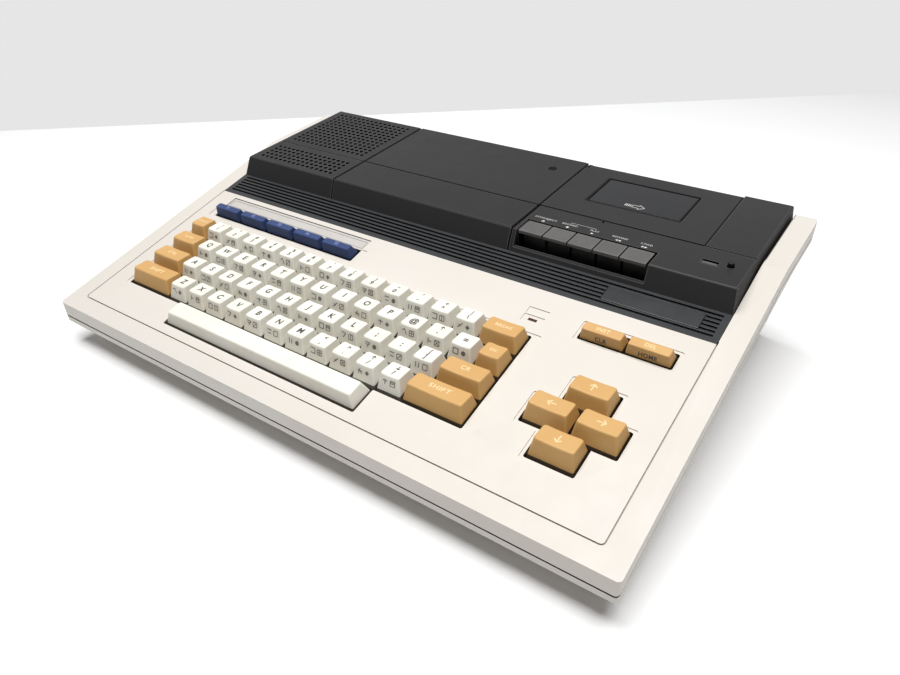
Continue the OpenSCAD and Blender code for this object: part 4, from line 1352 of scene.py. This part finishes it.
# where these signs and the arrow above a sign stand, to the right of and behind the top's middle
ALONE_AT, LOWER_AT, UPPER_AT, UPPER_ARROW_AT = (0.0, -0.2), (0.0, -2.3), (0.2, 2.5), (0.2, 2.6)
ORANGE_PRINT = {"SHIFT": (3.2, 1.15), "BREAK": (2.6, 0.98), "CR": (3.2, 0.98), "CTRL": (2.6, 0.98)}
ORANGE_SMALL, ORANGE_AT = (2.1, 0.98), (0.0, 0.3)
EDIT_PRINT, FUNCTION_PRINT = (2.7, 0.95), (2.6, 0.8)
EDIT_FRONT, EDIT_FRONT_UP = (3.0, 0.86), 0.55
EDIT_KEYS = {"key_insert": ("INST", "CLR"), "key_delete": ("DEL", "HOME")}


def print_strokes(bm, strokes, place, x, y, size, width):
    """A sign made of strokes, its lower left corner at x, y."""
    for ax, ay, bx, by in strokes:
        line = stroke(x + ax * size, y + ay * size, x + bx * size, y + by * size, width)
        print_shape(bm, line, place)


def print_front(bm, cap, index):
    """The two small signs on the front face of a white key."""
    place = cap.on_front(0.0, FRONT_UP)
    sign, mark = SIGNS[index % len(SIGNS)], BOXES[index % len(BOXES)]
    print_strokes(bm, sign, place, SIGN_X, SIGN_Y, SIGN_SIZE, SIGN_LINE)
    if index % 3:
        for strokes in (BOX, mark):
            print_strokes(bm, strokes, place, BOX_X, SIGN_Y, SIGN_SIZE, BOX_LINE)
    else:
        print_shape(bm, disc(*SPOT, 8 if index % 2 else 4), place)


def print_arrow(bm, place, turn, size, width):
    """An arrow turned by an angle, drawn as a shaft and two barbs."""
    a = math.radians(turn)
    cos_a, sin_a = math.cos(a), math.sin(a)
    for line in ARROW:
        x0, y0, x1, y1 = (part * size for part in line)
        start_at = (x0 * cos_a - y0 * sin_a, x0 * sin_a + y0 * cos_a)
        end_at = (x1 * cos_a - y1 * sin_a, x1 * sin_a + y1 * cos_a)
        print_shape(bm, stroke(*start_at, *end_at, width), place)


def print_key(piece, name, look, slot, draw, *how):
    """One printed piece on a key with a single cap, where draw(bm, *how) prints it."""
    bm = bmesh.new()
    draw(bm, *how)
    keep(piece + name, bm, finish(look), name, (), PANEL)


class COMPUTER_OT_legends(bpy.types.Operator):
    """Printed legends of the keys"""

    bl_idname = "computer.legends"
    bl_label = "Key legends"

    def execute(self, context):
        for name, (row, _, signs) in WHITE_ROWS.items():
            tops, fronts = bmesh.new(), bmesh.new()
            shifted = SHIFTED[name] + [""] * len(signs)
            for i, (cap, sign, upper) in enumerate(zip(cap_of(name), signs, shifted)):
                at, how = (LOWER_AT, LOWER) if upper else (ALONE_AT, ALONE)
                print_word(tops, sign, cap.on_top(*at), *how)
                if upper in UPRIGHT:
                    place = cap.on_top(*UPPER_ARROW_AT)
                    print_arrow(tops, place, UPRIGHT[upper], *UPPER_ARROW)
                elif upper:
                    print_word(tops, upper, cap.on_top(*UPPER_AT), *UPPER)
                print_front(fronts, cap, i * 5 + row * 3)
            keep("legends_" + name, tops, finish("ink_black"), name, (), PANEL)
            keep("signs_" + name, fronts, finish("ink_grey"), name, (), PANEL)
        for name, (*_, text) in ORANGE_KEYS.items():
            place = cap_of(name)[0].on_top(*ORANGE_AT)
            word = (text, place, *ORANGE_PRINT.get(text, ORANGE_SMALL))
            print_key("legend_", name, "ink_sand", "key_orange", print_word, *word)
        for name, (*_, turn) in CURSOR_KEYS.items():
            arrow = (cap_of(name)[0].on_top(), turn, *CURSOR_ARROW)
            print_key("legend_", name, "ink_sand", "key_orange", print_arrow, *arrow)
        for name, (text, lower) in EDIT_KEYS.items():
            cap = cap_of(name)[0]
            word = (text, cap.on_top(), *EDIT_PRINT)
            print_key("legend_", name, "ink_sand", "key_orange", print_word, *word)
            word = (lower, cap.on_front(0.0, EDIT_FRONT_UP), *EDIT_FRONT)
            print_key("sign_", name, "ink_black", "key_orange", print_word, *word)
        for i in range(1, 6):
            name = f"key_f{i}"
            word = (f"F{i}", cap_of(name)[0].on_top(), *FUNCTION_PRINT)
            print_key("legend_", name, "ink_blue", "key_blue", print_word, *word)
        return {"FINISHED"}


class COMPUTER_OT_inside(bpy.types.Operator):
    """Key frame, boards, supply, speaker and the tape mechanism"""

    bl_idname = "computer.inside"
    bl_label = "Inside"

    def execute(self, context):
        looks = {
            "key_frame": "zinc",
            "key_contacts": "rubber",
            "key_board": "board",
            "main_board": "board",
            "power_supply": "can",
            "speaker": "can",
            "tape_chassis": "zinc",
            "reel_left": "acetal",
            "reel_right": "acetal",
            "flywheel": "steel",
            "tape_motor": "can",
            "motor_pulley": "brass",
            "drive_belt": "rubber",
            "head_bridge": "zinc",
            "pinch_roller": "rubber",
        }
        for name, look in looks.items():
            dress(name, finish(look), 0.2, segments=2)
        return {"FINISHED"}


class COMPUTER_OT_rear(bpy.types.Operator):
    """Rear sockets and the power rocker"""

    bl_idname = "computer.rear"
    bl_label = "Rear"

    def execute(self, context):
        dress("rear_sockets", finish("nylon"), 0.3, segments=2)
        dress("power_rocker", finish("nylon"), 0.5)
        return {"FINISHED"}


TABLE_REACH = 4.0  # from its far edge and to each side, in metres
SENSOR = 36.0  # width of the camera's sensor in mm
NEAREST = 0.01  # what the camera sees starts here, in metres


class COMPUTER_OT_stage(bpy.types.Operator):
    """Table, camera, lamp and the room's light, which shows a pale wall"""

    bl_idname = "computer.stage"
    bl_label = "Stage"

    def execute(self, context):
        stage = settings().stage
        scene = context.scene
        # the table's far edge runs askew behind the computer
        askew = Matrix.Translation(stage.far_edge) @ Matrix.Rotation(stage.far_turn, 4, "Z")
        reach = TABLE_REACH
        corners = ((-reach, -reach, 0), (reach, -reach, 0), (reach, 0, 0), (-reach, 0, 0))
        mesh = bpy.data.meshes.new("table")
        mesh.from_pydata([askew @ Vector(c) for c in corners], [], [(0, 1, 2, 3)])
        mesh.materials.append(finish("table"))
        table = bpy.data.objects.new("table", mesh)
        scene.collection.objects.link(table)

        camera = bpy.data.objects.new("camera", bpy.data.cameras.new("camera"))
        scene.collection.objects.link(camera)
        place, target = Vector(stage.camera), Vector(stage.target)
        turn = (target - place).to_track_quat("-Z", "Y").to_matrix().to_4x4()
        camera.matrix_world = Matrix.Translation(place) @ turn @ Matrix.Rotation(stage.roll, 4, "Z")
        camera.data.sensor_width = SENSOR
        camera.data.lens = stage.focal_px / SCRIPT_IMAGE[0] * SENSOR
        camera.data.shift_x = 0.5 - stage.axis_px[0] / SCRIPT_IMAGE[0]
        camera.data.shift_y = (stage.axis_px[1] - SCRIPT_IMAGE[1] / 2) / SCRIPT_IMAGE[0]
        camera.data.clip_start = NEAREST
        scene.camera = camera

        light = bpy.data.lights.new("ceiling", "AREA")
        light.shape = "RECTANGLE"
        light.size, light.size_y = stage.lamp_size
        light.energy = stage.lamp_power
        lamp = bpy.data.objects.new("ceiling", light)
        lamp.location = stage.lamp
        down = Vector((0, 0, -stage.lamp[2]))
        lamp.rotation_euler = down.to_track_quat("-Z", "Y").to_euler()
        scene.collection.objects.link(lamp)

        # the room gives a faint light of its own; the camera, gloss and clear plastic see the wall
        world = bpy.data.worlds.new("room")
        world.use_nodes = True
        room = world.node_tree
        room.nodes.clear()
        ray = put(room, "ShaderNodeLightPath").outputs
        seen = ray["Is Camera Ray"]
        for kind in ("Is Glossy Ray", "Is Transmission Ray"):
            seen = put(
                room, "ShaderNodeMath", {"operation": "MAXIMUM"}, {0: seen, 1: ray[kind]}
            ).outputs[0]
        glow, wall = [
            put(room, "ShaderNodeBackground", {}, {"Color": linear(colour), "Strength": strength})
            for colour, strength in ((stage.glow, stage.glow_strength), (stage.wall, 1.0))
        ]
        mixed = {0: seen, 1: glow.outputs[0], 2: wall.outputs[0]}
        sky = put(room, "ShaderNodeMixShader", {}, mixed)
        put(room, "ShaderNodeOutputWorld", {}, {"Surface": sky.outputs[0]})
        scene.world = world
        scene.view_settings.view_transform = "Standard"
        return {"FINISHED"}


OPERATORS = (
    COMPUTER_OT_case,
    COMPUTER_OT_strip,
    COMPUTER_OT_modules,
    COMPUTER_OT_door,
    COMPUTER_OT_transport,
    COMPUTER_OT_white_keys,
    COMPUTER_OT_orange_keys,
    COMPUTER_OT_function_keys,
    COMPUTER_OT_legends,
    COMPUTER_OT_inside,
    COMPUTER_OT_rear,
    COMPUTER_OT_stage,
)


class HomeComputerSettings(bpy.types.PropertyGroup):
    """All settings of the scene."""

    case: PointerProperty(type=CaseSettings, name="Case", description="Case")
    keys: PointerProperty(type=KeySettings, name="Keys", description="Keys")
    stage: PointerProperty(type=StageSettings, name="Stage", description="Stage")


class VIEW3D_PT_home_computer(bpy.types.Panel):
    """Settings and steps of the scene"""

    bl_label = "Home computer"
    bl_space_type = "VIEW_3D"
    bl_region_type = "UI"
    bl_category = "Computer"

    def draw(self, context):
        layout = self.layout
        for group in (settings().case, settings().keys, settings().stage):
            box = layout.box()
            for prop in type(group).__annotations__:
                box.prop(group, prop)
        for operator in OPERATORS:
            layout.operator(operator.bl_idname)


CLASSES = (
    CaseSettings,
    KeySettings,
    StageSettings,
    HomeComputerSettings,
    *OPERATORS,
    VIEW3D_PT_home_computer,
)


def register():
    """Registers the classes and the scene's settings."""
    for cls in CLASSES:
        bpy.utils.register_class(cls)
    bpy.types.Scene.home_computer = PointerProperty(type=HomeComputerSettings)


def unregister():
    """Takes them out again."""
    del bpy.types.Scene.home_computer
    for cls in reversed(CLASSES):
        bpy.utils.unregister_class(cls)


def main():
    """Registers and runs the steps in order."""
    register()
    for operator in OPERATORS:
        group, name = operator.bl_idname.split(".")
        getattr(getattr(bpy.ops, group), name)()


if __name__ == "__main__":
    main()
